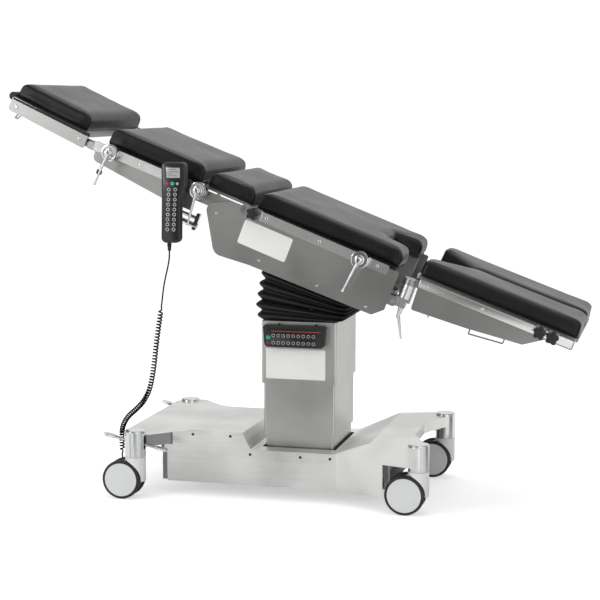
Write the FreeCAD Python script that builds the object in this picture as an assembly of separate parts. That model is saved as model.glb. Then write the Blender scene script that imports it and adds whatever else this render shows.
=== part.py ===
import FreeCAD, Part
import math
import os

V = FreeCAD.Vector

# Driving sizes, millimetres. X runs to the leg end, Y away from the operator's side, Z up.
# The origin is on the floor under the middle of the column.

# Fits: running gap, gap between faces, side play, and how far welded pieces run into each other
RUN_GAP = 0.05
FACE_GAP = 0.3
SIDE_GAP = 0.5
SLIDE_GAP = 0.5
WELD = 1.0

# Attitude of the tabletop as it stands
TILT_DEG = 21.5
HEAD_LIFT_DEG = 3.5
LEG_LIFT_DEG = 1.0
PIVOT_Z = 640.0

# Casters
WHEEL_R = 62.5
WHEEL_W = 20.0
WHEEL_GAP = 28.0
WHEEL_EDGE_R = 4.0
WHEEL_ROOM = 2.5
CASTER_TRAIL = 40.0
AXLE_R = 6.0
HOOD_R = 33.0
HOOD_TOP = 136.0
HOOD_BOTTOM = 57.0
HOOD_WEB = 22.0
WEB_BOSS_R = 16.0
WEB_DROP = 14.0
HOUSING_R = 33.0
HOUSING_TOP = 221.0
HOUSING_EDGE_R = 4.0
STEM_R = 11.0
STEM_H = 24.0
SWIVEL_GAP = 1.0
HEAD_CASTER_X = -507.0
HEAD_CASTER_Y = 280.0
LEG_CASTER_X = 411.0
LEG_CASTER_Y = 255.0

# Brake pedals
PEDAL_Z = 182.0
PEDAL_SHAFT_R = 8.0
PEDAL_SHAFT_ROOM = 4.0
PEDAL_REACH = 86.0
PEDAL_DROP = 18.0
PEDAL_ARM_R = 5.0
PEDAL_HUB_R = 12.0
PEDAL_HUB_W = 12.0
PEDAL_PAD_R = 17.0
PEDAL_PAD_T = 7.0
PEDAL_PAD_TILT = 12.0
PEDAL_SLOT_W = 18.0
PEDAL_SLOT_H = 42.0

# Base
PLATE_TOP = 214.0
SHEET = 2.0
HEAD_END_X = -548.0
HEAD_FLARE_Y = HEAD_CASTER_Y + 22.0
SKIRT_HEAD_X = -436.0
SKIRT_Y = 202.0
SKIRT_BOTTOM = 43.0
WELL_FLOOR = 160.0
WELL_HEAD_TOP_X = -172.0
WELL_HEAD_X = -144.0
WELL_LEG_X = 129.0
WELL_LEG_TOP_X = 256.0
COVER_SEAM_X = 136.0
FLARE_X = 256.0
FLARE_Y = 248.0
LEG_END_X = 432.0
LEG_END_Y = 292.0
LEG_BAY_X = 368.0
LEG_BAY_Y = 90.0
LEG_BAY_SIDE = 14.0
ARCH_R = 113.0
ARCH_TOP = 150.0
LEG_LIP = 34.0
BEAM_INNER_Y = 148.0
BEAM_W = 30.0
BEAM_BOTTOM = 100.0
BEAM_TOP = 150.0
BEAM_LEG_X = 300.0
BEAM_FOOT_W = 12.0
BEAM_FEET_X = (-170.0, 160.0)
CROSS_W = 30.0
CROSS_INSET = 12.0
CROSS_LAP = 4.0
HEAD_POST_Y0 = 160.0
HEAD_POST_Y1 = 185.0
PAN_BOTTOM = 50.0
PAN_TOP = 56.0
ARM_BOTTOM = 166.0
ARM_TOP = PLATE_TOP - SHEET
ARM_W = 40.0
ARM_ROOM = 2.0
ARM_NOTCH_X = -408.0

# Battery pack and control box, between the beams
TRAY_GAP = 6.0
BATTERY_X0 = -400.0
BATTERY_X1 = -205.0
BATTERY_TOP = 138.0
BATTERY_EDGE_R = 5.0
BATTERY_LUG_Y = 60.0
BATTERY_LUG_X = -335.0
BATTERY_LUG_W = 20.0
BATTERY_LUG_H = 8.0
CONTROL_X0 = 150.0
CONTROL_X1 = 262.0
CONTROL_TOP = 140.0
MOTOR_R = 34.0
MOTOR_Y = -70.0
MOTOR_H = 12.0
VALVE_X0 = 176.0
VALVE_X1 = 240.0
VALVE_Y0 = 10.0
VALVE_Y1 = 90.0

# Terminal box with the handset socket, the mains inlet and the earth pin
SOCKET_R = 11.0
SOCKET_LEN = 4.0
TERMINAL_X0 = -546.0
TERMINAL_X1 = -490.0
TERMINAL_Y0 = -175.0
TERMINAL_Y1 = 60.0
TERMINAL_BOTTOM = 156.0
TERMINAL_TIE_Y0 = -60.0
TERMINAL_TIE_Y1 = 40.0
TERMINAL_TIE_BOTTOM = 182.0
INLET_Y0 = -45.0
INLET_Y1 = 10.0
INLET_Z0 = 166.0
INLET_Z1 = 202.0
INLET_RIM = 6.5
INLET_PROUD = 4.0
INLET_DEPTH = 22.0
EARTH_PIN_R = 3.0
EARTH_PIN_LEN = 14.0
EARTH_NUT_R = 8.0
EARTH_NUT_T = 4.0
EARTH_Y = -95.0
EARTH_Z = 186.0

# Column
SHELL_X = 247.0
SHELL_Y = 291.0
SHELL_WALL = 2.0
SHELL_STEP = 6.0
SHELL_EDGE_R = 6.0
UPPER_BOTTOM = 369.0
UPPER_TOP = 571.0
MIDDLE_BOTTOM = 200.0
MIDDLE_TOP = 478.0
LOWER_TOP = 330.0
SLIDER_W = 30.0
SLIDER_H = 22.0
SLIDER_SPREAD = 60.0
HEAD_PLATE_T = 15.0
HEAD_PLATE_R = 4.0
LIFT_CYLINDER_R = 45.0
LIFT_CYLINDER_TOP = 395.0
LIFT_FLANGE_R = 67.0
LIFT_FLANGE_T = 12.0
LIFT_FLOOR_T = 14.0
LIFT_RAM_R = 35.0
LIFT_RAM_BOTTOM = 226.0

# Override panel on the upper shell
PANEL_W = 206.0
PANEL_H = 70.0
PANEL_D = 24.0
PANEL_X = -9.0
PANEL_TOP = 561.0
PANEL_TAPER = 6.0
PANEL_PROUD = 0.6
PANEL_KEYS = 9
PANEL_KEY_R = 4.2
PANEL_KEY_STEP = PANEL_W / 12.5
PANEL_KEY_ROW = 23.0
PANEL_KEY_DROP = 33.0
PANEL_FIRST_KEY = 35.0
PANEL_START_KEY_R = 5.5
PANEL_CLIP_R = 4.0
PANEL_CLIP_H = 5.0
KEY_PROUD = 0.8

# Universal joint between column and tabletop
YOKE_R = 22.0
YOKE_INNER_Y = 52.0
YOKE_T = 20.0
JOINT_PIN_R = 14.0
JOINT_PIN_PROUD = 2.0
CROSS_HALF_S = 44.0
CROSS_HALF_N = 24.0
ROLL_PIN_S = 84.0
ROLL_EAR_S0 = 50.0
ROLL_EAR_S1 = 80.0
ROLL_EAR_R = 26.0
CARRIAGE_PLATE_N = 52.0
CARRIAGE_PLATE_T = 8.0
CARRIAGE_HALF_S = 150.0
CARRIAGE_HALF_Y = 150.0
CAR_INSET = 10.0
CAR_W = 31.0
CAR_H = 26.0
CAR_FLOOR = 4.0
WEB_W = 14.0
BELLOWS_STEPS = 10
BELLOWS_SPLIT = 4
BELLOWS_WALL = 2.0
BELLOWS_DEPTH = 16.0
BELLOWS_SPREAD = 14.0
BELLOWS_SIDE_SHARE = 0.3
BELLOWS_SPREAD_STEPS = 3.0

# Cushions and boards: s along the top to the leg end, n square to it, both from the tilt pivot
PAD_HALF_Y = 235.0
PAD_TOP_N = 292.0
PAD_END_R = 24.0
PAD_EDGE_R = 6.0
BOARD_REACH = 5.0
BOARD_HALF_Y = PAD_HALF_Y + BOARD_REACH
BOARD_T = 8.0
BOARD_BOTTOM_N = 230.0
PAD_LOW_N = BOARD_BOTTOM_N + BOARD_T
SEAT_PAD_S0 = -218.0
SEAT_PAD_S1 = 272.0
KIDNEY_S0 = -390.0
KIDNEY_S1 = -229.0
BACK_PAD_S0 = -745.0
BACK_PAD_S1 = -408.0
HEAD_PAD_S0 = -1090.0
HEAD_PAD_S1 = -823.0
HEAD_PAD_TOP_N = 298.0
LEG_PAD_S0 = 337.0
LEG_PAD_S1 = 852.0
LEG_PAD_GAP = 16.0
LEG_PAD_LOW_N = 242.0
LEG_PAD_EDGE_R = 9.0
TAPER_S = 463.0
TAPER_Y = 155.0
NOTCH_DEPTH = 92.0
NOTCH_HALF_MOUTH = 112.0
NOTCH_HALF_FLOOR = 74.0
NOTCH_R = 26.0

# Outer faces of the side panels, from the boards outwards
COVER_Y = BOARD_HALF_Y + 26.0
COVER_T = 2.0
BACK_PANEL_Y = BOARD_HALF_Y + 18.0
HEAD_PLATE_Y = BOARD_HALF_Y + 22.0
LEG_PANEL_Y = BOARD_HALF_Y + 24.0
PANEL_T = 3.0

# Accessory rails
RAIL_Y = COVER_Y + 6.0
RAIL_W = 10.0
RAIL_H = 30.0
RAIL_TOP_N = 240.0
RAIL_FOOT_R = 9.0
SEAT_RAIL_S0 = -234.0
SEAT_RAIL_S1 = 250.0
SEAT_RAIL_FEET = (-160, 20, 215)
BACK_RAIL_S0 = -766.0
BACK_RAIL_S1 = -368.0
BACK_RAIL_FEET = (-735, -600, -440)
LEG_RAIL_S1 = 850.0
LEG_RAIL_FEET = (380, 560, 740)
LEG_RAIL_TOP_N = RAIL_TOP_N + 1.0

# Seat section
COVER_HEAD_S = -357.0
COVER_END_S = 282.0
COVER_LOW_N = 66.0
COVER_LIP_W = 60.0
SIDE_PLATE_T = 8.0
SIDE_PLATE_Y1 = COVER_Y - COVER_T
SIDE_PLATE_Y0 = SIDE_PLATE_Y1 - SIDE_PLATE_T
SIDE_PLATE_TOP_N = BOARD_BOTTOM_N - 2.0
GUIDE_Y = 135.0
GUIDE_W = 60.0
GUIDE_H = 39.0
GUIDE_S0 = -240.0
GUIDE_S1 = 245.0
GUIDE_LOW_N = COVER_LOW_N
GUIDE_TOP_N = GUIDE_LOW_N + GUIDE_H
CAR_LOW_N = GUIDE_LOW_N + CAR_FLOOR
SEAT_BEAMS_S = (-206.0, 150.0)
SEAT_BEAM_W = 20.0
SEAT_BEAM_LOW_N = 168.0
SEAT_TIES_S = (-222.0, -20.0, 150.0)
SEAT_TIE_W = 24.0
SEAT_POST_Y0 = COVER_Y - 66.0
SEAT_POST_Y1 = COVER_Y - 46.0
KIDNEY_POST_R = 10.0
KIDNEY_POST_Y = 120.0
KIDNEY_SLEEVE_R = 16.0
KIDNEY_SLEEVE_TOP_N = 200.0

# Back section
BACK_HINGE_S = -262.0
BACK_HINGE_N = 216.0
HINGE_PIN_R = 8.0
HINGE_EYE_R = 12.0
KIDNEY_POST_S = BACK_HINGE_S + 6.0
BACK_FRAME_S0 = -765.0
BACK_FRAME_S1 = -402.0
BACK_PANEL_LOW_N = 150.0
BACK_ARM_T = 9.0
BACK_ARM_Y1 = SIDE_PLATE_Y0 - SIDE_GAP
BACK_ARM_Y0 = BACK_ARM_Y1 - BACK_ARM_T
BACK_ARM_S0 = -470.0
BACK_ARM_LOW_N = 186.0
BACK_BEAM_S1 = -420.0
BACK_BEAM_LOW_N = 200.0
BACK_CROSS_S = (BACK_FRAME_S0 + 6.0, -600.0, -444.0)
BACK_CROSS_W = 24.0
BACK_CROSS_LOW_N = 206.0
STRUT_Y = 190.0
STRUT_S0 = -462.0
STRUT_S1 = -384.0
STRUT_N = 98.0
STRUT_R = 9.0
STRUT_ROD_N = 122.0
STRUT_ROD_R = 6.0
STRUT_BLOCK_S = 12.0
STRUT_BLOCK_W = 16.0
STRUT_BLOCK_LOW_N = 84.0
STRUT_STUB_TOP_N = 138.0

# Head section: its arms run between the two eyes of the back section
HEAD_HINGE_S = -790.0
HEAD_HINGE_N = 215.0
HEAD_PLATE_S0 = -1088.0
HEAD_PLATE_S1 = -804.0
HEAD_PLATE_LOW_N = 201.0
HEAD_PLATE_TOP_N = 247.0
HEAD_ARM_T = 18.0
HEAD_ARM_Y1 = COVER_Y - 25.0
HEAD_ARM_Y0 = HEAD_ARM_Y1 - HEAD_ARM_T
HEAD_ARM_S0 = -850.0
HEAD_EYE_OUTER_T = 12.5
HEAD_EYE_INNER_T = 14.0
HEAD_BAR_W = 22.0
HEAD_BARS_S = (HEAD_PLATE_S0 + 14.0, -864.0)
HEAD_TIE_W = 16.0
HEAD_TIES_S = (HEAD_PLATE_S0 + 18.0, -862.0)
HEAD_ROLL_R = 13.0
BAIL_R = 2.5
BAIL_DROP = 26.0

# Leg sections: pitch hinge on the seat, upright post that the section swings on
LEG_PITCH_S = 296.0
LEG_PITCH_N = 140.0
LEG_BARREL_R = 13.0
LEG_EYE_T = 12.0
LEG_EYE_Y1 = COVER_Y - 66.0
LEG_EYE_Y0 = LEG_EYE_Y1 - LEG_EYE_T
LEG_BEAM_S0 = 150.0
LEG_BEAM_S1 = 262.0
LEG_ARM_S0 = 240.0
LEG_ARM_H = 24.0
LEG_SWING_S = 325.0
LEG_SWING_Y = LEG_PANEL_Y - 18.0
LEG_BLOCK_INNER = 22.0
LEG_BLOCK_OUTER = 9.0
LEG_POST_R = 22.0
LEG_POST_LOW_N = 150.0
LEG_POST_TOP_N = 205.0
LEG_PIN_LEN = 34.0
LEG_PIN_ROOM = 2.0
LEG_HUB_TOP_N = 224.0
LEG_ARM_W = 16.0
LEG_FRAME_S0 = 352.0
LEG_FRAME_S1 = 830.0
LEG_PANEL_S1 = 770.0
LEG_FRAME_TOP_N = 232.0
LEG_BAR_LOW_N = 218.0
LEG_BEAM_Y0 = 44.0
LEG_BEAM_Y1 = 68.0
LEG_BAR_W = 24.0
LEG_BARS_S = (TAPER_S + 10.0, 640.0, LEG_FRAME_S1 - LEG_BAR_W)
LEG_BAIL_S0 = 545.0
LEG_BAIL_S1 = 652.0
LEG_BAIL_LOW_N = 134.0

# Lock handle under each leg post
HANDLE_LOW_N = 96.0
HANDLE_SHAFT_R = 6.0
HANDLE_SHAFT_LOW_N = 120.0
HANDLE_THIN_R = 5.0
HANDLE_THICK_R = 9.0
HANDLE_LEVER_N = 104.0
HANDLE_LEVER_LOW_N = 38.0
HANDLE_LEVER_S = 34.0
HANDLE_LEVER_R = 5.5
LEVER_TIP_R = 3.0

# Rail clamps and their handles
JAW_T = 4.0
JAW_LIP = 3.0
CLAMP_R = 26.0
CLAMP_DEPTH = 20.0
CLAMP_BORE_R = 8.0
CLAMP_SCREW_R = 5.0
CLAMP_FACE_Y = RAIL_Y + RAIL_W + 1.0
ROUND_JAW_HALF = 18.0
KNOB_JAW_HALF = 26.0
KNOB_BOSS_R = 17.0
KNOB_BLOCK_Y = RAIL_Y + RAIL_W + 8.0
LEVER_LEN = 108.0
LEVER_R = 5.0
LEVER_HUB_R = 10.0
LEVER_HUB_LEN = 20.0
STAR_R = 19.0
STAR_T = 14.0
STAR_LOBES = 5
HEAD_CLAMP_S = -703.0
BACK_CLAMP_S = -392.0
KNOB_CLAMP_S = -204.0
LEG_CLAMP_S = 160.0
HEAD_LEVER_DROOP = 4.0
BACK_LEVER_DROOP = -6.0
SEAT_LEVER_DROOP = 6.0
LEG_KNOB_S = 744.0
LEG_KNOB_STEP = 40.0
LEG_KNOBS = 2

# Handset, hung plumb from the near back rail
HANDSET_X = -352.0
HANDSET_TOP = 1081.0
HANDSET_H = 250.0
HANDSET_TOP_W = 78.0
HANDSET_LOW_W = 58.0
HANDSET_D = 30.0
HANDSET_EDGE_R = 4.0
HANDSET_FRONT_Y = -(RAIL_Y + RAIL_W + 48.0)
HANDSET_KEYS = 9
HANDSET_KEY_R = 5.0
HANDSET_KEY_STEP = 15.5
HANDSET_KEY_LEAN = 0.8
HANDSET_KEY_DROP = 84.0
HANDSET_KEY_COLUMNS = (-15.0, 6.0)
HANDSET_TOP_KEYS = (-20.0, -3.0, 13.0)
HANDSET_TOP_KEY_DROP = 66.0
DISPLAY_W = 48.0
DISPLAY_H = 34.0
DISPLAY_DROP = 16.0
DISPLAY_PROUD = 0.4
HOOK_S = -472.0
HOOK_W = 36.0
HOOK_T = 4.0
HOOK_REACH = 22.0
HOOK_LIP = 16.0
HOOK_LEG = 50.0
GLAND_X = HANDSET_X - 20.0
GLAND_Y = HANDSET_FRONT_Y + HANDSET_D / 2
GLAND_R = 7.0
GLAND_TIP_R = 4.5

# Handset cord. The routes are drawn for the rail at ROUTE_GLAND_Y and follow it when it moves.
LEAD_R = 2.5
COIL_R = 8.0
RELIEF_LEN = 11.0
RELIEF_R = 6.5
PLUG_R = 9.0
ROUTE_GLAND_Y = -315.0
LEAD_ROUTE = [(-372, -315, 805), (-372, -315, 784), (-378, -314, 754), (-387, -312, 722),
              (-394, -311, 690), (-398, -310, 662), (-401, -310, 637)]
COIL_ROUTE = [(-401, -310, 637), (-408, -309, 595), (-416, -307, 548), (-424, -304, 500),
              (-431, -300, 450), (-441, -294, 400), (-456, -284, 352), (-482, -270, 311),
              (-516, -250, 281), (-551, -230, 253), (-576, -208, 220), (-587, -192, 188),
              (-588, -188, 154), (-588, -187, 121)]
TAIL_ROUTE = [(-588, -187, 121), (-588, -186, 100), (-572, -180, 81), (-547, -168, 81),
              (-532, -156, 102), (-532, -150, 125)]
SOCKET_X = TAIL_ROUTE[-1][0]
SOCKET_Y = TAIL_ROUTE[-1][1]


# Shape helpers


def box(x0, x1, y0, y1, z0, z1):
    return Part.makeBox(x1 - x0, y1 - y0, z1 - z0, V(x0, y0, z0))


def rod(start, end, radius, end_radius=None):
    axis = V(*end) - V(*start)
    if end_radius is None:
        return Part.makeCylinder(radius, axis.Length, V(*start), axis)
    return Part.makeCone(radius, end_radius, axis.Length, V(*start), axis)


def pin_y(x, z, y0, y1, radius):
    return rod((x, min(y0, y1), z), (x, max(y0, y1), z), radius)


def fuse(shapes):
    joined = shapes[0]
    if len(shapes) > 1:
        joined = shapes[0].multiFuse(shapes[1:])
    return joined.removeSplitter()


def mirrored(shape):
    return shape.mirror(V(0, 0, 0), V(0, 1, 0))


def side_placed(shape, side):
    """The shapes are drawn on the far side, so side -1 mirrors them to the near side."""
    return shape if side > 0 else mirrored(shape)


def both(shape):
    return [shape, mirrored(shape)]


def wire_edges(points, place):
    """Edges of a closed outline of (u, v, corner radius) points."""
    flat = [V(p[0], p[1], 0) for p in points]
    radii = [p[2] if len(p) > 2 else 0.0 for p in points]
    count = len(flat)
    starts = []
    ends = []
    mids = []
    for i in range(count):
        before = (flat[i - 1] - flat[i]).normalize()
        after = (flat[(i + 1) % count] - flat[i]).normalize()
        if radii[i] <= 0:
            starts.append(flat[i])
            ends.append(flat[i])
            mids.append(None)
            continue
        half = before.getAngle(after) / 2.0
        reach = radii[i] / math.tan(half)
        inward = (before + after).normalize()
        centre = flat[i] + inward * (radii[i] / math.sin(half))
        starts.append(flat[i] + before * reach)
        ends.append(flat[i] + after * reach)
        mids.append(centre - inward * radii[i])
    edges = []
    for i in range(count):
        if mids[i] is not None:
            arc = Part.Arc(place(starts[i]), place(mids[i]), place(ends[i]))
            edges.append(arc.toShape())
        following = starts[(i + 1) % count]
        if (following - ends[i]).Length > 1e-6:
            edges.append(Part.LineSegment(place(ends[i]), place(following)).toShape())
    return edges


def prism(points, place, sweep):
    return Part.Face(Part.Wire(wire_edges(points, place))).extrude(sweep)


def side_prism(points, y0, y1):
    return prism(points, lambda p: V(p.x, y0, p.y), V(0, y1 - y0, 0))


def plan_prism(points, z0, z1):
    return prism(points, lambda p: V(p.x, p.y, z0), V(0, 0, z1 - z0))


def turned(shape, s, n, degrees):
    """Turn a shape about the across axis through (s, n)."""
    copy = shape.copy()
    copy.rotate(V(s, 0, n), V(0, 1, 0), degrees)
    return copy


def on_table(shape):
    """From the tabletop's own frame to the part's frame."""
    copy = shape.copy()
    copy.rotate(V(0, 0, 0), V(0, 1, 0), TILT_DEG)
    copy.translate(V(0, 0, PIVOT_Z))
    return copy


def on_head(shape):
    return on_table(turned(shape, HEAD_HINGE_S, HEAD_HINGE_N, HEAD_LIFT_DEG))


def on_leg(shape):
    return on_table(turned(shape, LEG_PITCH_S, LEG_PITCH_N, -LEG_LIFT_DEG))


def long_edges(shape, y):
    """Edges of the two cheeks of a cushion, at plus and minus y."""
    found = []
    for edge in shape.Edges:
        box_of = edge.BoundBox
        if box_of.YLength < 1e-6 and abs(abs(box_of.YMin) - y) < 1e-6:
            found.append(edge)
    return found


def cushion(s0, s1, n0, n1, half_y):
    profile = [(s0, n0, PAD_EDGE_R), (s1, n0, PAD_EDGE_R), (s1, n1, PAD_END_R), (s0, n1, PAD_END_R)]
    body = side_prism(profile, -half_y, half_y)
    return body.makeFillet(PAD_EDGE_R * 0.9, long_edges(body, half_y))


# Casters

CASTERS = [
    ("head_near", HEAD_CASTER_X, -HEAD_CASTER_Y),
    ("head_far", HEAD_CASTER_X, HEAD_CASTER_Y),
    ("leg_near", LEG_CASTER_X, -LEG_CASTER_Y),
    ("leg_far", LEG_CASTER_X, LEG_CASTER_Y),
]


def pedal_slot(x, y):
    """Opening through the housing that the pedal arm rocks in."""
    reach = HOUSING_R + WELD
    return box(x - reach, x + reach, y - PEDAL_SLOT_W / 2, y + PEDAL_SLOT_W / 2,
               PEDAL_Z - PEDAL_SLOT_H / 2, PEDAL_Z + PEDAL_SLOT_H / 2)


def caster_housings():
    shells = []
    low = HOOD_TOP + SWIVEL_GAP
    for name, x, y in CASTERS:
        shell = Part.makeCylinder(HOUSING_R, HOUSING_TOP - low, V(x, y, low))
        rim = [e for e in shell.Edges if abs(e.BoundBox.ZMin - HOUSING_TOP) < 1e-6]
        shell = shell.makeFillet(HOUSING_EDGE_R, rim)
        shell = shell.cut(Part.makeCylinder(STEM_R + RUN_GAP, STEM_H, V(x, y, HOOD_TOP)))
        if x < 0:
            shell = shell.cut(pedal_slot(x, y))
            inner_y = y - math.copysign(HOUSING_R + WELD, y)
            shell = shell.cut(pin_y(x, PEDAL_Z, y, inner_y, PEDAL_SHAFT_R + FACE_GAP))
        shells.append(shell)
    return Part.makeCompound(shells)


def caster_fork(x, y):
    """Hood over two half-round wheel rooms, with the axle web between them and the stem above."""
    axle_x = x - CASTER_TRAIL
    web_top = HOOD_TOP - WEB_DROP
    hood = Part.makeCylinder(HOOD_R, HOOD_TOP - HOOD_BOTTOM, V(x, y, HOOD_BOTTOM))
    web = side_prism(
        [(axle_x - WEB_BOSS_R, WHEEL_R - WEB_BOSS_R, 12), (x, HOOD_BOTTOM, 4), (x + 8, web_top, 4),
         (axle_x - 10, web_top, 20)],
        y - HOOD_WEB / 2, y + HOOD_WEB / 2)
    stem = Part.makeCylinder(STEM_R, STEM_H, V(x, y, HOOD_TOP - WELD))
    body = fuse([hood, web, stem])
    room_r = WHEEL_R + WHEEL_ROOM
    for side in (-1, 1):
        inner = y + side * HOOD_WEB / 2
        body = body.cut(pin_y(axle_x, WHEEL_R, inner, y + side * (HOOD_R + WHEEL_W), room_r))
    return body.cut(pin_y(axle_x, WHEEL_R, y - HOOD_WEB, y + HOOD_WEB, AXLE_R + RUN_GAP))


def caster_wheels(x, y):
    axle_x = x - CASTER_TRAIL
    inner = WHEEL_GAP / 2
    pieces = [pin_y(axle_x, WHEEL_R, y - inner, y + inner, AXLE_R)]
    for side in (-1, 1):
        disc = pin_y(axle_x, WHEEL_R, y + side * inner, y + side * (inner + WHEEL_W), WHEEL_R)
        rims = [e for e in disc.Edges if e.Curve.TypeId == "Part::GeomCircle"]
        pieces.append(disc.makeFillet(WHEEL_EDGE_R, rims))
    return fuse(pieces)


def pedal_pad(tip):
    """Oval foot plate, leaning with its arm."""
    pad = Part.makeCylinder(PEDAL_PAD_R, PEDAL_PAD_T, V(0, 0, -PEDAL_PAD_T / 2))
    stretch = FreeCAD.Matrix()
    stretch.scale(1.35, 0.85, 1.0)
    pad = pad.transformGeometry(stretch)
    pad.rotate(V(0, 0, 0), V(0, 1, 0), PEDAL_PAD_TILT)
    pad.translate(V(*tip))
    return pad


def brake_pedals():
    """Two seesaw pedals on one shaft through both head-end housings."""
    x = HEAD_CASTER_X
    pieces = [pin_y(x, PEDAL_Z, -HEAD_CASTER_Y, HEAD_CASTER_Y, PEDAL_SHAFT_R)]
    for y in (-HEAD_CASTER_Y, HEAD_CASTER_Y):
        pieces.append(pin_y(x, PEDAL_Z, y - PEDAL_HUB_W / 2, y + PEDAL_HUB_W / 2, PEDAL_HUB_R))
        for end in (-1, 1):
            tip = (x + end * PEDAL_REACH, y, PEDAL_Z - end * PEDAL_DROP)
            pieces.append(rod((x, y, PEDAL_Z), tip, PEDAL_ARM_R))
            pieces.append(pedal_pad(tip))
    return fuse(pieces)


# Base


def pedal_shaft_room():
    """Clear way for the pedal shaft through whatever it passes."""
    return pin_y(HEAD_CASTER_X, PEDAL_Z, -HEAD_CASTER_Y, HEAD_CASTER_Y, PEDAL_SHAFT_R + PEDAL_SHAFT_ROOM)


def cover_outline(head, inset):
    """Plan of the base cover: the given head end, then the sides and the flared leg end."""
    half = SKIRT_Y - inset
    leg_y = LEG_END_Y - inset
    upper = head + [
        (COVER_SEAM_X, half, 60.0), (FLARE_X, FLARE_Y - inset, 60.0),
        (LEG_CASTER_X - 30, leg_y - 6, 20.0), (LEG_CASTER_X + 14, leg_y, 14.0),
        (LEG_END_X - inset, LEG_CASTER_Y - 20, 20.0), (LEG_BAY_X - inset, LEG_BAY_Y, 60.0),
    ]
    lower = [(p[0], -p[1], p[2]) for p in reversed(upper)]
    return upper + lower


def roof_block(drop, reach):
    """Everything below the cover's roof line, with the well for the column's foot."""
    top = PLATE_TOP - drop
    well = WELL_FLOOR - drop
    profile = [
        (2 * HEAD_END_X, SKIRT_BOTTOM), (2 * HEAD_END_X, top), (WELL_HEAD_TOP_X, top, 8.0),
        (WELL_HEAD_X, well, 6.0), (WELL_LEG_X, well, 20.0), (WELL_LEG_TOP_X, top, 30.0),
        (2 * LEG_END_X, top), (2 * LEG_END_X, SKIRT_BOTTOM),
    ]
    return side_prism(profile, -reach, reach)


def roof_sheet(block):
    """Top plate of the base, flared out to the casters at both ends."""
    flared = [(HEAD_END_X, HEAD_FLARE_Y - 44, 24.0), (HEAD_CASTER_X - 6, HEAD_FLARE_Y, 26.0),
              (HEAD_CASTER_X + 52, HEAD_FLARE_Y - 2, 20.0), (HEAD_CASTER_X + 150, SKIRT_Y, 110.0)]
    roof = plan_prism(cover_outline(flared, 0.0), SKIRT_BOTTOM, PLATE_TOP + SHEET)
    return roof.common(block.cut(roof_block(SHEET, 3 * LEG_END_Y)))


def skirt_sheet(block):
    """Upright sheet round the base, open over the casters, the arms and the leg end's bay."""
    outside = plan_prism(cover_outline([(SKIRT_HEAD_X, SKIRT_Y, 0.0)], 0.0), SKIRT_BOTTOM,
                         PLATE_TOP + SHEET)
    inside_head = [(SKIRT_HEAD_X - SKIRT_BOTTOM, SKIRT_Y - SHEET, 0.0)]
    inside = plan_prism(cover_outline(inside_head, SHEET), 0, 2 * PLATE_TOP)
    skirt = outside.cut(inside).common(block)
    bay_y = LEG_CASTER_Y - HOUSING_R - LEG_BAY_SIDE
    skirt = skirt.cut(box(LEG_BAY_X - 60, 2 * LEG_END_X, -bay_y, bay_y, 0, PLATE_TOP - LEG_LIP))
    for side in (-1, 1):
        y0, y1 = sorted((side * (SKIRT_Y - CROSS_INSET), side * 2 * LEG_END_Y))
        notch = box(SKIRT_HEAD_X - WELD, ARM_NOTCH_X, y0, y1, ARM_BOTTOM - ARM_ROOM, ARM_TOP)
        skirt = skirt.cut(notch)
    return skirt


def base_shell():
    """Roof plate and skirt as one folded cover, with the holes for column, casters and wheels."""
    block = roof_block(0.0, 2 * LEG_END_Y)
    shell = fuse([roof_sheet(block), skirt_sheet(block)])
    hole_x = SHELL_X / 2 - SHELL_WALL
    hole_y = SHELL_Y / 2 - SHELL_WALL
    shell = shell.cut(box(-hole_x, hole_x, -hole_y, hole_y, 0, PLATE_TOP))
    for name, x, y in CASTERS:
        shell = shell.cut(Part.makeCylinder(HOUSING_R, 2 * PLATE_TOP, V(x, y, 0)))
        shell = shell.cut(Part.makeCylinder(ARCH_R, ARCH_TOP, V(x, y, 0)))
    return shell


def base_covers():
    shell = base_shell()
    reach = 2 * LEG_END_Y
    top = 2 * PLATE_TOP
    head = shell.common(box(2 * HEAD_END_X, COVER_SEAM_X - FACE_GAP, -reach, reach, 0, top))
    leg = shell.common(box(COVER_SEAM_X, 2 * LEG_END_X, -reach, reach, 0, top))
    return head, leg


def caster_arm(x, y, root_x, root_y):
    """Box-section arm from the chassis to a caster housing, flush under the cover."""
    along = V(x - root_x, y - root_y, 0)
    arm = box(0, along.Length, -ARM_W / 2, ARM_W / 2, ARM_BOTTOM, ARM_TOP)
    arm.rotate(V(0, 0, 0), V(0, 0, 1), math.degrees(math.atan2(along.y, along.x)))
    arm.translate(V(root_x, root_y, 0))
    return arm.cut(Part.makeCylinder(HOUSING_R, 2 * PLATE_TOP, V(x, y, 0)))


def chassis_beams(cross_head):
    """Two long beams with their feet down to the pan, and the posts behind the head-end skirt."""
    pieces = []
    for side in (-1, 1):
        y0, y1 = sorted((side * BEAM_INNER_Y, side * (BEAM_INNER_Y + BEAM_W)))
        pieces.append(box(cross_head, BEAM_LEG_X, y0, y1, BEAM_BOTTOM, BEAM_TOP))
        for x in (cross_head,) + BEAM_FEET_X + (BEAM_LEG_X - BEAM_FOOT_W,):
            pieces.append(box(x, x + BEAM_FOOT_W, y0, y1, PAN_BOTTOM, BEAM_BOTTOM + CROSS_LAP))
        y0, y1 = sorted((side * HEAD_POST_Y0, side * HEAD_POST_Y1))
        pieces.append(box(SKIRT_HEAD_X - 12, SKIRT_HEAD_X + 10, y0, y1, SKIRT_BOTTOM, ARM_TOP))
    return pieces


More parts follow.
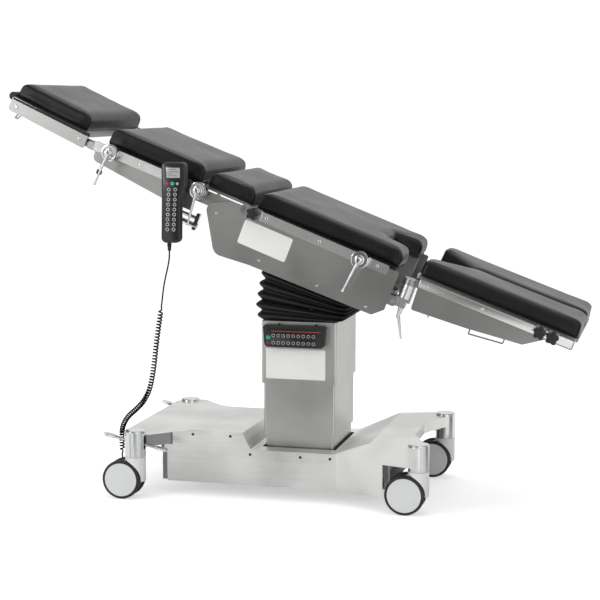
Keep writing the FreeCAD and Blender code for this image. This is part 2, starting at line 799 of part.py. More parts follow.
def base_chassis():
    """Pan, beams, cross members and the four caster arms, cleared for the pedals and their shaft."""
    cross_head = SKIRT_HEAD_X + 6
    cross_y = SKIRT_Y - CROSS_INSET
    beam_y = BEAM_INNER_Y + BEAM_W
    cross_low = BEAM_TOP - CROSS_LAP
    pieces = chassis_beams(cross_head)
    pieces.append(box(cross_head, BEAM_LEG_X, -beam_y, beam_y, PAN_BOTTOM, PAN_TOP))
    pieces.append(box(cross_head, cross_head + CROSS_W, -cross_y, cross_y, cross_low, ARM_TOP))
    pieces.append(box(BEAM_LEG_X - CROSS_W, BEAM_LEG_X, -cross_y, cross_y, cross_low, ARM_TOP))
    frame = fuse(pieces)
    arms = []
    for name, x, y in CASTERS:
        root_x = cross_head + 20 if x < 0 else BEAM_LEG_X - 20
        root_y = math.copysign(cross_y - 22, y)
        arms.append(caster_arm(x, y, root_x, root_y))
    chassis = fuse([frame] + arms)
    chassis = chassis.cut(pedal_shaft_room())
    for side in (-1, 1):
        chassis = chassis.cut(pedal_slot(HEAD_CASTER_X + PEDAL_REACH / 2, side * HEAD_CASTER_Y))
    return chassis


def battery_pack():
    half_y = BEAM_INNER_Y - TRAY_GAP
    body = box(BATTERY_X0, BATTERY_X1, -half_y, half_y, PAN_TOP, BATTERY_TOP)
    body = body.makeFillet(BATTERY_EDGE_R, [e for e in body.Edges if e.BoundBox.ZLength > PAN_TOP])
    pieces = [body]
    reach = BATTERY_LUG_W / 2
    for side in (-1, 1):
        y = side * BATTERY_LUG_Y
        pieces.append(box(BATTERY_LUG_X - reach, BATTERY_LUG_X + reach, y - reach, y + reach,
                          BATTERY_TOP, BATTERY_TOP + BATTERY_LUG_H))
    return fuse(pieces)


def control_box():
    """Oil tank with the pump's motor and the valve block on its lid."""
    half_y = BEAM_INNER_Y - TRAY_GAP
    tank = box(CONTROL_X0, CONTROL_X1, -half_y, half_y, PAN_TOP, CONTROL_TOP)
    middle_x = (CONTROL_X0 + CONTROL_X1) / 2
    motor = Part.makeCylinder(MOTOR_R, MOTOR_H, V(middle_x, MOTOR_Y, CONTROL_TOP))
    valve = box(VALVE_X0, VALVE_X1, VALVE_Y0, VALVE_Y1, CONTROL_TOP, CONTROL_TOP + MOTOR_H)
    return fuse([tank, motor, valve])


def inlet_sockets():
    """Terminal box under the head end of the cover, with handset, mains and earth fittings."""
    body = box(TERMINAL_X0, TERMINAL_X1, TERMINAL_Y0, TERMINAL_Y1, TERMINAL_BOTTOM, ARM_TOP)
    tie = box(TERMINAL_X1 - WELD, SKIRT_HEAD_X + 6, TERMINAL_TIE_Y0, TERMINAL_TIE_Y1, TERMINAL_TIE_BOTTOM,
              ARM_TOP)
    socket_low = (SOCKET_X, SOCKET_Y, TERMINAL_BOTTOM - SOCKET_LEN)
    handset = rod(socket_low, (SOCKET_X, SOCKET_Y, TERMINAL_BOTTOM + WELD), SOCKET_R)
    mains = box(TERMINAL_X0 - INLET_PROUD, TERMINAL_X0 + WELD, INLET_Y0, INLET_Y1, INLET_Z0, INLET_Z1)
    recess = box(TERMINAL_X0 - 2 * INLET_PROUD, TERMINAL_X0 + INLET_DEPTH, INLET_Y0 + INLET_RIM,
                 INLET_Y1 - INLET_RIM,
                 INLET_Z0 + INLET_RIM, INLET_Z1 - INLET_RIM)
    pin_root = (TERMINAL_X0 + WELD, EARTH_Y, EARTH_Z)
    pin = rod(pin_root, (TERMINAL_X0 - EARTH_PIN_LEN, EARTH_Y, EARTH_Z), EARTH_PIN_R)
    nut = rod((TERMINAL_X0 - EARTH_NUT_T, EARTH_Y, EARTH_Z), pin_root, EARTH_NUT_R)
    terminal = fuse([body, tie, handset, mains, nut, pin])
    return terminal.cut(recess).cut(pedal_shaft_room())


# Column


def rounded_plan(half_x, half_y, radius, z0, z1):
    corners = [(-half_x, -half_y, radius), (half_x, -half_y, radius),
               (half_x, half_y, radius), (-half_x, half_y, radius)]
    return plan_prism(corners, z0, z1)


def sleeve(half_x, half_y, wall, z0, z1):
    outer = rounded_plan(half_x, half_y, SHELL_EDGE_R, z0, z1)
    inner = rounded_plan(half_x - wall, half_y - wall, SHELL_EDGE_R - wall, z0 - WELD, z1 + WELD)
    return outer.cut(inner)


def column_upper_shell():
    return sleeve(SHELL_X / 2, SHELL_Y / 2, SHELL_WALL, UPPER_BOTTOM, UPPER_TOP)


def sliders(face, inward, z):
    """Pairs of slide blocks on the two walls at plus and minus face, as (low, high) across the wall."""
    reach = SHELL_STEP - SHELL_WALL - FACE_GAP
    root = face - inward * WELD / 2
    tip = face + inward * reach
    spans = []
    for side in (-1, 1):
        low, high = sorted((side * root, side * tip))
        for across in (-SLIDER_SPREAD, SLIDER_SPREAD):
            spans.append((low, high, across - SLIDER_W / 2, across + SLIDER_W / 2, z, z + SLIDER_H))
    return spans


def column_middle_shell():
    """Middle cover with slide blocks: outside at its top, inside at its bottom."""
    half_x = SHELL_X / 2 - SHELL_STEP
    half_y = SHELL_Y / 2 - SHELL_STEP
    pieces = [sleeve(half_x, half_y, SHELL_WALL, MIDDLE_BOTTOM, MIDDLE_TOP)]
    for wall, inward, z in ((0.0, 1, MIDDLE_TOP - SLIDER_H), (SHELL_WALL, -1, MIDDLE_BOTTOM)):
        for low, high, a0, a1, z0, z1 in sliders(half_x - wall, inward, z):
            pieces.append(box(low, high, a0, a1, z0, z1))
        for low, high, a0, a1, z0, z1 in sliders(half_y - wall, inward, z):
            pieces.append(box(a0, a1, low, high, z0, z1))
    return fuse(pieces)


def column_lower_shell():
    half_x = SHELL_X / 2 - 2 * SHELL_STEP
    half_y = SHELL_Y / 2 - 2 * SHELL_STEP
    return sleeve(half_x, half_y, SHELL_WALL, PAN_TOP, LOWER_TOP)


def lift_cylinder():
    body = Part.makeCylinder(LIFT_CYLINDER_R, LIFT_CYLINDER_TOP - PAN_TOP, V(0, 0, PAN_TOP))
    flange = Part.makeCylinder(LIFT_FLANGE_R, LIFT_FLANGE_T, V(0, 0, PAN_TOP))
    bore = Part.makeCylinder(LIFT_RAM_R + RUN_GAP, LIFT_CYLINDER_TOP, V(0, 0, PAN_TOP + LIFT_FLOOR_T))
    return fuse([body, flange]).cut(bore)


def yoke_post(side):
    """Upright that carries one tilt pin."""
    low, high = sorted((side * YOKE_INNER_Y, side * (YOKE_INNER_Y + YOKE_T)))
    web = box(-YOKE_R, YOKE_R, low, high, UPPER_TOP, PIVOT_Z)
    eye = pin_y(0, PIVOT_Z, low, high, YOKE_R)
    return fuse([web, eye]).cut(pin_y(0, PIVOT_Z, low - WELD, high + WELD, JOINT_PIN_R + RUN_GAP))


def lift_ram():
    """Ram, column head plate and the two tilt uprights."""
    plate_low = UPPER_TOP - HEAD_PLATE_T
    plate = rounded_plan(SHELL_X / 2 - SHELL_WALL, SHELL_Y / 2 - SHELL_WALL, HEAD_PLATE_R, plate_low,
                         UPPER_TOP)
    ram = Part.makeCylinder(LIFT_RAM_R, plate_low - LIFT_RAM_BOTTOM, V(0, 0, LIFT_RAM_BOTTOM))
    return fuse([plate, ram, yoke_post(-1), yoke_post(1)])


def override_keys():
    """Two rows of round membrane keys and the start key."""
    face = -SHELL_Y / 2 - PANEL_D
    tip = face - PANEL_PROUD - KEY_PROUD
    first = PANEL_X - PANEL_W / 2 + PANEL_FIRST_KEY
    top_row = PANEL_TOP - PANEL_KEY_DROP
    keys = []
    for row in (0, 1):
        z = top_row - row * PANEL_KEY_ROW
        for i in range(PANEL_KEYS):
            x = first + i * PANEL_KEY_STEP
            keys.append(rod((x, face, z), (x, tip, z), PANEL_KEY_R))
    x = first - PANEL_KEY_STEP
    z = top_row - PANEL_KEY_ROW / 2
    keys.append(rod((x, face, z), (x, tip, z), PANEL_START_KEY_R))
    return keys


def override_panel():
    """Tapered box on the upper shell, with a raised key field and two clips on top."""
    left = PANEL_X - PANEL_W / 2
    right = PANEL_X + PANEL_W / 2
    low = PANEL_TOP - PANEL_H
    back = -SHELL_Y / 2
    front = back - PANEL_D
    body = side_prism([(left, PANEL_TOP, 8), (right, PANEL_TOP, 8), (right - PANEL_TAPER, low, 14),
                       (left + PANEL_TAPER, low, 14)], front, back)
    field = side_prism([(left + 10, PANEL_TOP - 18), (right - 10, PANEL_TOP - 18), (right - 15, low + 6),
                        (left + 15, low + 6)], front - PANEL_PROUD, front + WELD)
    clips = []
    for x in (PANEL_X - PANEL_W / 4, PANEL_X + PANEL_W / 3):
        clips.append(rod((x, back - PANEL_D / 2, PANEL_TOP - WELD),
                         (x, back - PANEL_D / 2, PANEL_TOP + PANEL_CLIP_H),
                         PANEL_CLIP_R))
    return fuse([body, field] + clips + override_keys())


# Tilt joint and bellows


def tilt_cradle():
    """Cross of the universal joint: tilt pins across, roll pins along the top."""
    half_y = YOKE_INNER_Y - JOINT_PIN_PROUD
    block = box(-CROSS_HALF_S, CROSS_HALF_S, -half_y, half_y, -CROSS_HALF_N, CROSS_HALF_N)
    reach_y = YOKE_INNER_Y + YOKE_T + JOINT_PIN_PROUD
    tilt_pin = pin_y(0, 0, -reach_y, reach_y, JOINT_PIN_R)
    roll_pin = rod((-ROLL_PIN_S, 0, 0), (ROLL_PIN_S, 0, 0), JOINT_PIN_R)
    return on_table(fuse([block, tilt_pin, roll_pin]))


def roll_carriage():
    """Plate with two roll ears below and a bearing car along each seat guide above."""
    top = CARRIAGE_PLATE_N + CARRIAGE_PLATE_T
    pieces = [box(-CARRIAGE_HALF_S, CARRIAGE_HALF_S, -CARRIAGE_HALF_Y, CARRIAGE_HALF_Y, CARRIAGE_PLATE_N,
                  top)]
    for end in (-1, 1):
        s0, s1 = sorted((end * ROLL_EAR_S0, end * ROLL_EAR_S1))
        cheek = box(s0, s1, -ROLL_EAR_R, ROLL_EAR_R, 0, CARRIAGE_PLATE_N + WELD)
        ear = fuse([cheek, rod((s0, 0, 0), (s1, 0, 0), ROLL_EAR_R)])
        pieces.append(ear.cut(rod((s0 - WELD, 0, 0), (s1 + WELD, 0, 0), JOINT_PIN_R + RUN_GAP)))
    reach = CARRIAGE_HALF_S - CAR_INSET
    for side in (-1, 1):
        y = side * GUIDE_Y
        pieces.append(box(-reach, reach, y - WEB_W / 2, y + WEB_W / 2, top - WELD, CAR_LOW_N + WELD))
        pieces.append(box(-reach, reach, y - CAR_W / 2, y + CAR_W / 2, CAR_LOW_N, CAR_LOW_N + CAR_H))
    return on_table(fuse(pieces))


def bellows_ring(part, half_x, half_y):
    """Rectangle at a share of the way from the column head to the carriage."""
    angle = math.radians(TILT_DEG * part)
    lean = math.radians(TILT_DEG)
    low = V(0, 0, UPPER_TOP)
    high = V(CARRIAGE_PLATE_N * math.sin(lean), 0, PIVOT_Z + CARRIAGE_PLATE_N * math.cos(lean))
    centre = low + (high - low) * part
    corners = []
    for u, v in ((-1, -1), (1, -1), (1, 1), (-1, 1)):
        x = centre.x + u * half_x * math.cos(angle)
        z = centre.z - u * half_x * math.sin(angle)
        corners.append(V(x, v * half_y, z))
    return Part.makePolygon(corners + [corners[0]])


def bellows(first, last):
    """Pleated rubber sleeve, hollow all the way. Odd rings are the peaks of the pleats."""
    skins = []
    for wall in (0.0, BELLOWS_WALL):
        rings = []
        for i in range(first, last + 1):
            peak = BELLOWS_DEPTH if i % 2 else 0.0
            widen = BELLOWS_SPREAD * min(1.0, i / BELLOWS_SPREAD_STEPS)
            half_x = SHELL_X / 2 + widen + peak - wall
            half_y = SHELL_Y / 2 + widen * BELLOWS_SIDE_SHARE + peak - wall
            rings.append(bellows_ring(i / BELLOWS_STEPS, half_x, half_y))
        skins.append(Part.makeLoft(rings, True, True))
    return skins[0].cut(skins[1])


def bellows_lower():
    return bellows(0, BELLOWS_SPLIT)


def bellows_upper():
    return bellows(BELLOWS_SPLIT, BELLOWS_STEPS)


# Seat section


def cover_profile():
    """Side view of the seat's side cover."""
    top = BOARD_BOTTOM_N
    return [
        (COVER_HEAD_S, 178, 20), (COVER_HEAD_S + 74, COVER_LOW_N - 12, 34), (-163, COVER_LOW_N, 20),
        (COVER_END_S - 32, COVER_LOW_N + 10, 8), (COVER_END_S, COVER_LOW_N + 40, 6), (COVER_END_S, top, 4),
        (COVER_HEAD_S + 72, top, 20), (COVER_HEAD_S + 7, top - 30, 12),
    ]


def seat_covers():
    """Thin side covers with a folded lip along the bottom."""
    panel = side_prism(cover_profile(), COVER_Y - COVER_T, COVER_Y)
    lip = side_prism([(-160, COVER_LOW_N + 0.5), (176, COVER_LOW_N + 8.6),
                      (176, COVER_LOW_N + 8.6 + COVER_T),
                      (-160, COVER_LOW_N + 0.5 + COVER_T)], COVER_Y - COVER_LIP_W, COVER_Y - COVER_T / 2)
    return on_table(Part.makeCompound(both(fuse([panel, lip]))))


def side_plate():
    """Far side plate of the seat, from the back hinge to the leg hinge."""
    beak = LEG_PITCH_S + 12
    plate = side_prism([(BACK_HINGE_S, 96, 14), (-160, 80, 10), (256, 92, 6), (256, 126, 4),
                        (beak, 126, 11),
                        (beak, 154, 11), (256, 158, 4), (256, SIDE_PLATE_TOP_N),
                        (BACK_HINGE_S - 18, SIDE_PLATE_TOP_N, 14)], SIDE_PLATE_Y0, SIDE_PLATE_Y1)
    return plate.cut(pin_y(BACK_HINGE_S, BACK_HINGE_N, SIDE_PLATE_Y0 - WELD, SIDE_PLATE_Y1 + WELD,
                           HINGE_PIN_R + RUN_GAP))


def slide_guide(side):
    """C-shaped guide that holds a bearing car."""
    y = side * GUIDE_Y
    guide = box(GUIDE_S0, GUIDE_S1, y - GUIDE_W / 2, y + GUIDE_W / 2, GUIDE_LOW_N, GUIDE_TOP_N)
    car = CAR_W / 2 + SLIDE_GAP
    neck = WEB_W / 2 + SLIDE_GAP
    guide = guide.cut(box(GUIDE_S0 - WELD, GUIDE_S1 + WELD, y - car, y + car,
                          CAR_LOW_N - SLIDE_GAP, CAR_LOW_N + CAR_H + SLIDE_GAP))
    return guide.cut(box(GUIDE_S0 - WELD, GUIDE_S1 + WELD, y - neck, y + neck, GUIDE_LOW_N - WELD,
                         CAR_LOW_N))


def leg_hinge_support(side):
    """Inner eye of a leg hinge on its arm and riser."""
    y0, y1 = sorted((side * LEG_EYE_Y0, side * LEG_EYE_Y1))
    half = LEG_ARM_H / 2
    eye = pin_y(LEG_PITCH_S, LEG_PITCH_N, y0, y1, LEG_BARREL_R)
    arm = box(LEG_ARM_S0, LEG_PITCH_S, y0, y1, LEG_PITCH_N - half, LEG_PITCH_N + half)
    riser = box(LEG_BEAM_S0, LEG_BEAM_S1, y0, y1, LEG_PITCH_N - half - WELD, BOARD_BOTTOM_N)
    return [eye, arm, riser]


def kidney_sleeve(side):
    """Tube that a kidney bridge post slides in, tied to the guide below and the beam above."""
    y = side * KIDNEY_POST_Y
    tube = rod((KIDNEY_POST_S, y, GUIDE_TOP_N - WELD), (KIDNEY_POST_S, y, KIDNEY_SLEEVE_TOP_N),
               KIDNEY_SLEEVE_R)
    tie = box(KIDNEY_POST_S, SEAT_BEAMS_S[0] + 6, y - 8, y + 8, GUIDE_TOP_N - WELD,
              GUIDE_TOP_N + SEAT_TIE_W)
    brace = box(KIDNEY_POST_S, SEAT_BEAMS_S[0] + 11, y - 5, y + 5, SEAT_BEAM_LOW_N,
                SEAT_BEAM_LOW_N + SEAT_BEAM_W)
    return [tube, tie, brace]


def seat_frame():
    """Side plates, slide guides, cross members, hinge eyes and kidney sleeves."""
    half_y = SIDE_PLATE_Y0 + WELD
    pieces = both(side_plate())
    for s in SEAT_BEAMS_S:
        pieces.append(box(s, s + SEAT_BEAM_W, -half_y, half_y, SEAT_BEAM_LOW_N, BOARD_BOTTOM_N))
    for s in SEAT_TIES_S:
        pieces.append(box(s, s + SEAT_TIE_W, -half_y, half_y, GUIDE_TOP_N - WELD, GUIDE_TOP_N + SEAT_TIE_W))
    for side in (-1, 1):
        y0, y1 = sorted((side * SEAT_POST_Y0, side * SEAT_POST_Y1))
        pieces.append(box(SEAT_BEAMS_S[0], SEAT_BEAMS_S[0] + SEAT_BEAM_W, y0, y1, GUIDE_TOP_N - WELD,
                          SEAT_BEAM_LOW_N + WELD))
        pieces.append(slide_guide(side))
        pieces += leg_hinge_support(side) + kidney_sleeve(side)
    frame = fuse(pieces)
    for side in (-1, 1):
        y = side * KIDNEY_POST_Y
        frame = frame.cut(rod((KIDNEY_POST_S, y, 0), (KIDNEY_POST_S, y, BOARD_BOTTOM_N),
                              KIDNEY_POST_R + RUN_GAP))
        y0, y1 = sorted((side * (LEG_EYE_Y0 - WELD), side * (SIDE_PLATE_Y1 + WELD)))
        frame = frame.cut(pin_y(LEG_PITCH_S, LEG_PITCH_N, y0, y1, HINGE_PIN_R + RUN_GAP))
    return on_table(frame)


def rail(s0, s1, feet, top_n, panel_y):
    """Accessory rail on its spacers, drawn on the far side."""
    bar = side_prism([(s0, top_n - RAIL_H, 5), (s1, top_n - RAIL_H, 5), (s1, top_n, 5), (s0, top_n, 5)],
                     RAIL_Y, RAIL_Y + RAIL_W)
    return fuse([bar] + [pin_y(s, top_n - RAIL_H / 2, panel_y, RAIL_Y, RAIL_FOOT_R) for s in feet])


def seat_rails():
    one = rail(SEAT_RAIL_S0, SEAT_RAIL_S1, SEAT_RAIL_FEET, RAIL_TOP_N, COVER_Y)
    return on_table(Part.makeCompound(both(one)))


def notch_outline(s0, s1, half_y, inset, corner):
    """Plan of the seat cushion or board with the cut-out at the leg end."""
    floor_s = SEAT_PAD_S1 - NOTCH_DEPTH - inset
    mouth = NOTCH_HALF_MOUTH + inset
    floor = NOTCH_HALF_FLOOR + inset
    return [
        (s0, -half_y, corner), (s1, -half_y, corner), (s1, -mouth, corner), (floor_s, -floor, NOTCH_R),
        (floor_s, floor, NOTCH_R), (s1, mouth, corner), (s1, half_y, corner), (s0, half_y, corner),
    ]


def seat_board():
    outline = notch_outline(SEAT_PAD_S0 + 3, SEAT_PAD_S1 - 4, BOARD_HALF_Y, 4.0, 10.0)
    return on_table(plan_prism(outline, BOARD_BOTTOM_N, PAD_LOW_N))


def seat_pad():
    body = cushion(SEAT_PAD_S0, SEAT_PAD_S1, PAD_LOW_N, PAD_TOP_N, PAD_HALF_Y)
    floor_s = SEAT_PAD_S1 - NOTCH_DEPTH
    end_s = SEAT_PAD_S1 + 20
    mouth = NOTCH_HALF_MOUTH + 8
    notch = plan_prism([(end_s, -mouth), (floor_s, -NOTCH_HALF_FLOOR, NOTCH_R),
                        (floor_s, NOTCH_HALF_FLOOR, NOTCH_R),
                        (end_s, mouth)], BOARD_BOTTOM_N, PAD_TOP_N + WELD)
    return on_table(body.cut(notch))


def kidney_lift():
    """Plate on two posts that slide in the seat's sleeves."""
    half_y = PAD_HALF_Y - 4
    pieces = [box(KIDNEY_S0 + 4, KIDNEY_S1 - 3, -half_y, half_y, BOARD_BOTTOM_N, PAD_LOW_N)]
    for side in (-1, 1):
        y = side * KIDNEY_POST_Y
        pieces.append(rod((KIDNEY_POST_S, y, GUIDE_TOP_N), (KIDNEY_POST_S, y, BOARD_BOTTOM_N + WELD),
                          KIDNEY_POST_R))
    return on_table(fuse(pieces))


def kidney_pad():
    return on_table(cushion(KIDNEY_S0, KIDNEY_S1, PAD_LOW_N, PAD_TOP_N - 3, PAD_HALF_Y))


# Back section


def head_hinge_eyes():
    """Outer and inner eye of the far head hinge, either side of the head section's arm."""
    pieces = []
    outer = HEAD_ARM_Y1 + SIDE_GAP
    inner = HEAD_ARM_Y0 - SIDE_GAP
    for y0, y1 in ((outer, outer + HEAD_EYE_OUTER_T), (inner - HEAD_EYE_INNER_T, inner)):
        pieces.append(pin_y(HEAD_HINGE_S, HEAD_HINGE_N, y0, y1, HINGE_EYE_R))
        pieces.append(box(HEAD_HINGE_S, BACK_FRAME_S0 + 12, y0, y1, HEAD_HINGE_N - HINGE_EYE_R,
                          HEAD_HINGE_N + 8))
    return pieces


def back_frame():
    """Folded side panels, cross tubes, the arms to the back hinge and the eyes for the head hinge."""
    top = BOARD_BOTTOM_N
    low = BACK_PANEL_LOW_N
    arm_top = BACK_HINGE_N + HINGE_EYE_R
    panel = side_prism([(BACK_FRAME_S0, low + 26, 18), (-708, low + 20, 10), (-496, low, 10),
                        (BACK_FRAME_S1, low, 8),
                        (BACK_FRAME_S1, top, 4), (BACK_FRAME_S0, top,
                                                  8)], BACK_PANEL_Y - PANEL_T, BACK_PANEL_Y)
    arm = side_prism([(BACK_ARM_S0, BACK_ARM_LOW_N, 6), (-340, BACK_ARM_LOW_N, 30),
                      (BACK_HINGE_S + 16, BACK_HINGE_N - 15, 13), (BACK_HINGE_S + 16, arm_top, 11),
                      (BACK_ARM_S0, arm_top, 6)], BACK_ARM_Y0, BACK_ARM_Y1)
    pin = pin_y(BACK_HINGE_S, BACK_HINGE_N, BACK_ARM_Y1 - WELD, SIDE_PLATE_Y1 - SIDE_GAP, HINGE_PIN_R)
    beam = box(BACK_FRAME_S0 + 6, BACK_BEAM_S1, BACK_ARM_Y0 - 8, BACK_PANEL_Y - WELD, BACK_BEAM_LOW_N, top)
    far = fuse([panel, arm, pin, beam] + head_hinge_eyes())
    far = far.cut(pin_y(HEAD_HINGE_S, HEAD_HINGE_N, HEAD_ARM_Y0 - 2 * HEAD_EYE_INNER_T,
                        HEAD_ARM_Y1 + 2 * HEAD_EYE_OUTER_T, HINGE_PIN_R + RUN_GAP))
    cross = []
    for s in BACK_CROSS_S:
        cross.append(box(s, s + BACK_CROSS_W, -BACK_ARM_Y0 - 4, BACK_ARM_Y0 + 4, BACK_CROSS_LOW_N, top))
    return on_table(fuse(both(far) + cross))


def back_strut(side):
    """Lift rod with its thinner guide rod, held by a long and a short end block."""
    y = side * STRUT_Y
    half = STRUT_BLOCK_W / 2
    inset = STRUT_BLOCK_S - 2
    pieces = [rod((STRUT_S0, y, STRUT_N), (STRUT_S1, y, STRUT_N), STRUT_R),
              rod((STRUT_S0 + inset, y, STRUT_ROD_N), (STRUT_S1 - STRUT_BLOCK_S, y, STRUT_ROD_N),
                  STRUT_ROD_R)]
    for s, top in ((STRUT_S0, BOARD_BOTTOM_N), (STRUT_S1 - STRUT_BLOCK_S - 2, STRUT_STUB_TOP_N)):
        pieces.append(box(s, s + STRUT_BLOCK_S, y - half, y + half, STRUT_BLOCK_LOW_N, top))
    return fuse(pieces)


def back_struts():
    return on_table(Part.makeCompound([back_strut(-1), back_strut(1)]))


def back_rails():
    one = rail(BACK_RAIL_S0, BACK_RAIL_S1, BACK_RAIL_FEET, RAIL_TOP_N, BACK_PANEL_Y)
    return on_table(Part.makeCompound(both(one)))


def back_board():
    return on_table(box(BACK_PAD_S0 + 4, BACK_PAD_S1 - 3, -BOARD_HALF_Y, BOARD_HALF_Y, BOARD_BOTTOM_N,
                        PAD_LOW_N))


def back_pad():
    return on_table(cushion(BACK_PAD_S0, BACK_PAD_S1, PAD_LOW_N, PAD_TOP_N + 3, PAD_HALF_Y))


# Head section


def head_bail():
    """Wire loop under the near corner of the head section's free end."""
    y0 = HEAD_PLATE_Y - 62
    y1 = HEAD_PLATE_Y - 30
    root_n = HEAD_PLATE_LOW_N + 15
    low = HEAD_PLATE_LOW_N - BAIL_DROP
    s0 = HEAD_PLATE_S0 + 8
    s1 = HEAD_PLATE_S0 + 30
    wires = [rod((s0 + 18, y0, root_n), (s0, y0, low), BAIL_R),
             rod((s1 + 18, y1, root_n), (s1, y1, low + 6), BAIL_R),
             rod((s0, y0, low), (s1, y1, low + 6), BAIL_R)]
    return [mirrored(wire) for wire in wires]


def head_frame():
    """Two side plates, cross bars, hinge arms and the wire bail under the free end."""
    plate = side_prism([(HEAD_PLATE_S0, HEAD_PLATE_LOW_N, 10), (HEAD_PLATE_S1, HEAD_PLATE_LOW_N - 4, 6),
                        (HEAD_PLATE_S1, HEAD_PLATE_TOP_N - 6, 8), (HEAD_PLATE_S0, HEAD_PLATE_TOP_N, 8)],
                       HEAD_PLATE_Y - PANEL_T, HEAD_PLATE_Y)
    low = HEAD_HINGE_N - HINGE_EYE_R
    high = HEAD_HINGE_N + HINGE_EYE_R
    arm = box(HEAD_ARM_S0, HEAD_HINGE_S, HEAD_ARM_Y0, HEAD_ARM_Y1, low, high)
    link = box(HEAD_ARM_S0, HEAD_ARM_S0 + HEAD_BAR_W, HEAD_ARM_Y0, HEAD_PLATE_Y - WELD, low, high)
    barrel = pin_y(HEAD_HINGE_S, HEAD_HINGE_N, HEAD_ARM_Y0, HEAD_ARM_Y1, HINGE_EYE_R)
    pin = pin_y(HEAD_HINGE_S, HEAD_HINGE_N, HEAD_ARM_Y0 - HEAD_EYE_INNER_T, HEAD_ARM_Y1 + HEAD_EYE_OUTER_T,
                HINGE_PIN_R)
    cross_y = HEAD_PLATE_Y - 2
    bars = [box(s, s + HEAD_BAR_W, -cross_y, cross_y, HEAD_HINGE_N - WELD,
                BOARD_BOTTOM_N + 6) for s in HEAD_BARS_S]
    far = fuse([plate, arm, link, barrel, pin])
    return on_head(fuse(both(far) + bars + head_bail() + [head_board()]))


def head_board():
    """Board under the head cushion, rolled up at the free end."""
    low = HEAD_PLATE_TOP_N - BOARD_T - WELD
    end_s = HEAD_PAD_S0 - 8
    board = box(end_s, HEAD_PAD_S1 - 4, -BOARD_HALF_Y, BOARD_HALF_Y, low, low + BOARD_T)
    roll = pin_y(end_s, low + BOARD_T / 2, -BOARD_HALF_Y, BOARD_HALF_Y, HEAD_ROLL_R)
    tie_y = HEAD_PLATE_Y - PANEL_T
    ties = [box(s, s + HEAD_TIE_W, -tie_y, tie_y, low - 4, low + 2) for s in HEAD_TIES_S]
    above = box(HEAD_PAD_S0 - WELD, 0, -2 * BOARD_HALF_Y, 2 * BOARD_HALF_Y, low + BOARD_T,
                2 * HEAD_PAD_TOP_N)
    return fuse([board, roll] + ties).cut(above)


def head_pad():
    return on_head(cushion(HEAD_PAD_S0, HEAD_PAD_S1, HEAD_PLATE_TOP_N - 1, HEAD_PAD_TOP_N, PAD_HALF_Y))


# Leg sections, drawn on the far side


def leg_bracket():
    """Pitch barrel on the seat with the upright post that the leg section swings on."""
    barrel = pin_y(LEG_PITCH_S, LEG_PITCH_N, LEG_EYE_Y1 + SIDE_GAP, SIDE_PLATE_Y0 - SIDE_GAP, LEG_BARREL_R)
    pin = pin_y(LEG_PITCH_S, LEG_PITCH_N, LEG_EYE_Y0 + SIDE_GAP, SIDE_PLATE_Y1 - 2, HINGE_PIN_R)
    block_low = LEG_PITCH_N - 10
    block = box(LEG_PITCH_S + 4, LEG_SWING_S + 10, LEG_SWING_Y - LEG_BLOCK_INNER,
                LEG_SWING_Y + LEG_BLOCK_OUTER,
                block_low, LEG_POST_LOW_N + 6)
    plate_room = box(LEG_PITCH_S - 20, LEG_SWING_S + 30, SIDE_PLATE_Y0 - SIDE_GAP, SIDE_PLATE_Y0 + 20,
                     LEG_PITCH_N - 20, LEG_POST_LOW_N + 12)
    post = rod((LEG_SWING_S, LEG_SWING_Y, LEG_POST_LOW_N), (LEG_SWING_S, LEG_SWING_Y, LEG_POST_TOP_N),
               LEG_POST_R)
    body = fuse([fuse([barrel, block, post]).cut(plate_room), pin])
    socket = rod((LEG_SWING_S, LEG_SWING_Y, block_low - 10), (LEG_SWING_S, LEG_SWING_Y, LEG_PITCH_N + 2),
                 HANDLE_SHAFT_R + RUN_GAP)
    bore = rod((LEG_SWING_S, LEG_SWING_Y, LEG_POST_TOP_N - LEG_PIN_LEN - LEG_PIN_ROOM),
               (LEG_SWING_S, LEG_SWING_Y, LEG_POST_TOP_N + WELD), HINGE_PIN_R + RUN_GAP)
    return body.cut(socket).cut(bore)


def leg_handle():
    """Tapered lock handle under the post, leaning to the leg end."""
    s = LEG_SWING_S
    y = LEG_SWING_Y
    stem = rod((s, y, HANDLE_LOW_N), (s, y, LEG_PITCH_N - 10 - FACE_GAP), HANDLE_THIN_R, HANDLE_THICK_R)
    lever = rod((s, y, HANDLE_LEVER_N), (s + HANDLE_LEVER_S, y, HANDLE_LEVER_LOW_N), HANDLE_LEVER_R,
                LEVER_TIP_R)
    shaft = rod((s, y, HANDLE_SHAFT_LOW_N), (s, y, LEG_PITCH_N + WELD), HANDLE_SHAFT_R)
    return fuse([stem, lever, shaft])


def leg_bail():
    """Wire loop under the side panel."""
    y = LEG_PANEL_Y - 14
    edge = LEG_PANEL_Y - 2
    s0 = LEG_BAIL_S0
    s1 = LEG_BAIL_S1
    low = LEG_BAIL_LOW_N
    stops = [(s0, edge, low + 16), (s0, y, low + 16), (s0, y, low), (s1, y, low + 12), (s1, y, low + 34),
             (s1, edge, low + 34)]
    return [rod(a, b, BAIL_R) for a, b in zip(stops, stops[1:])]


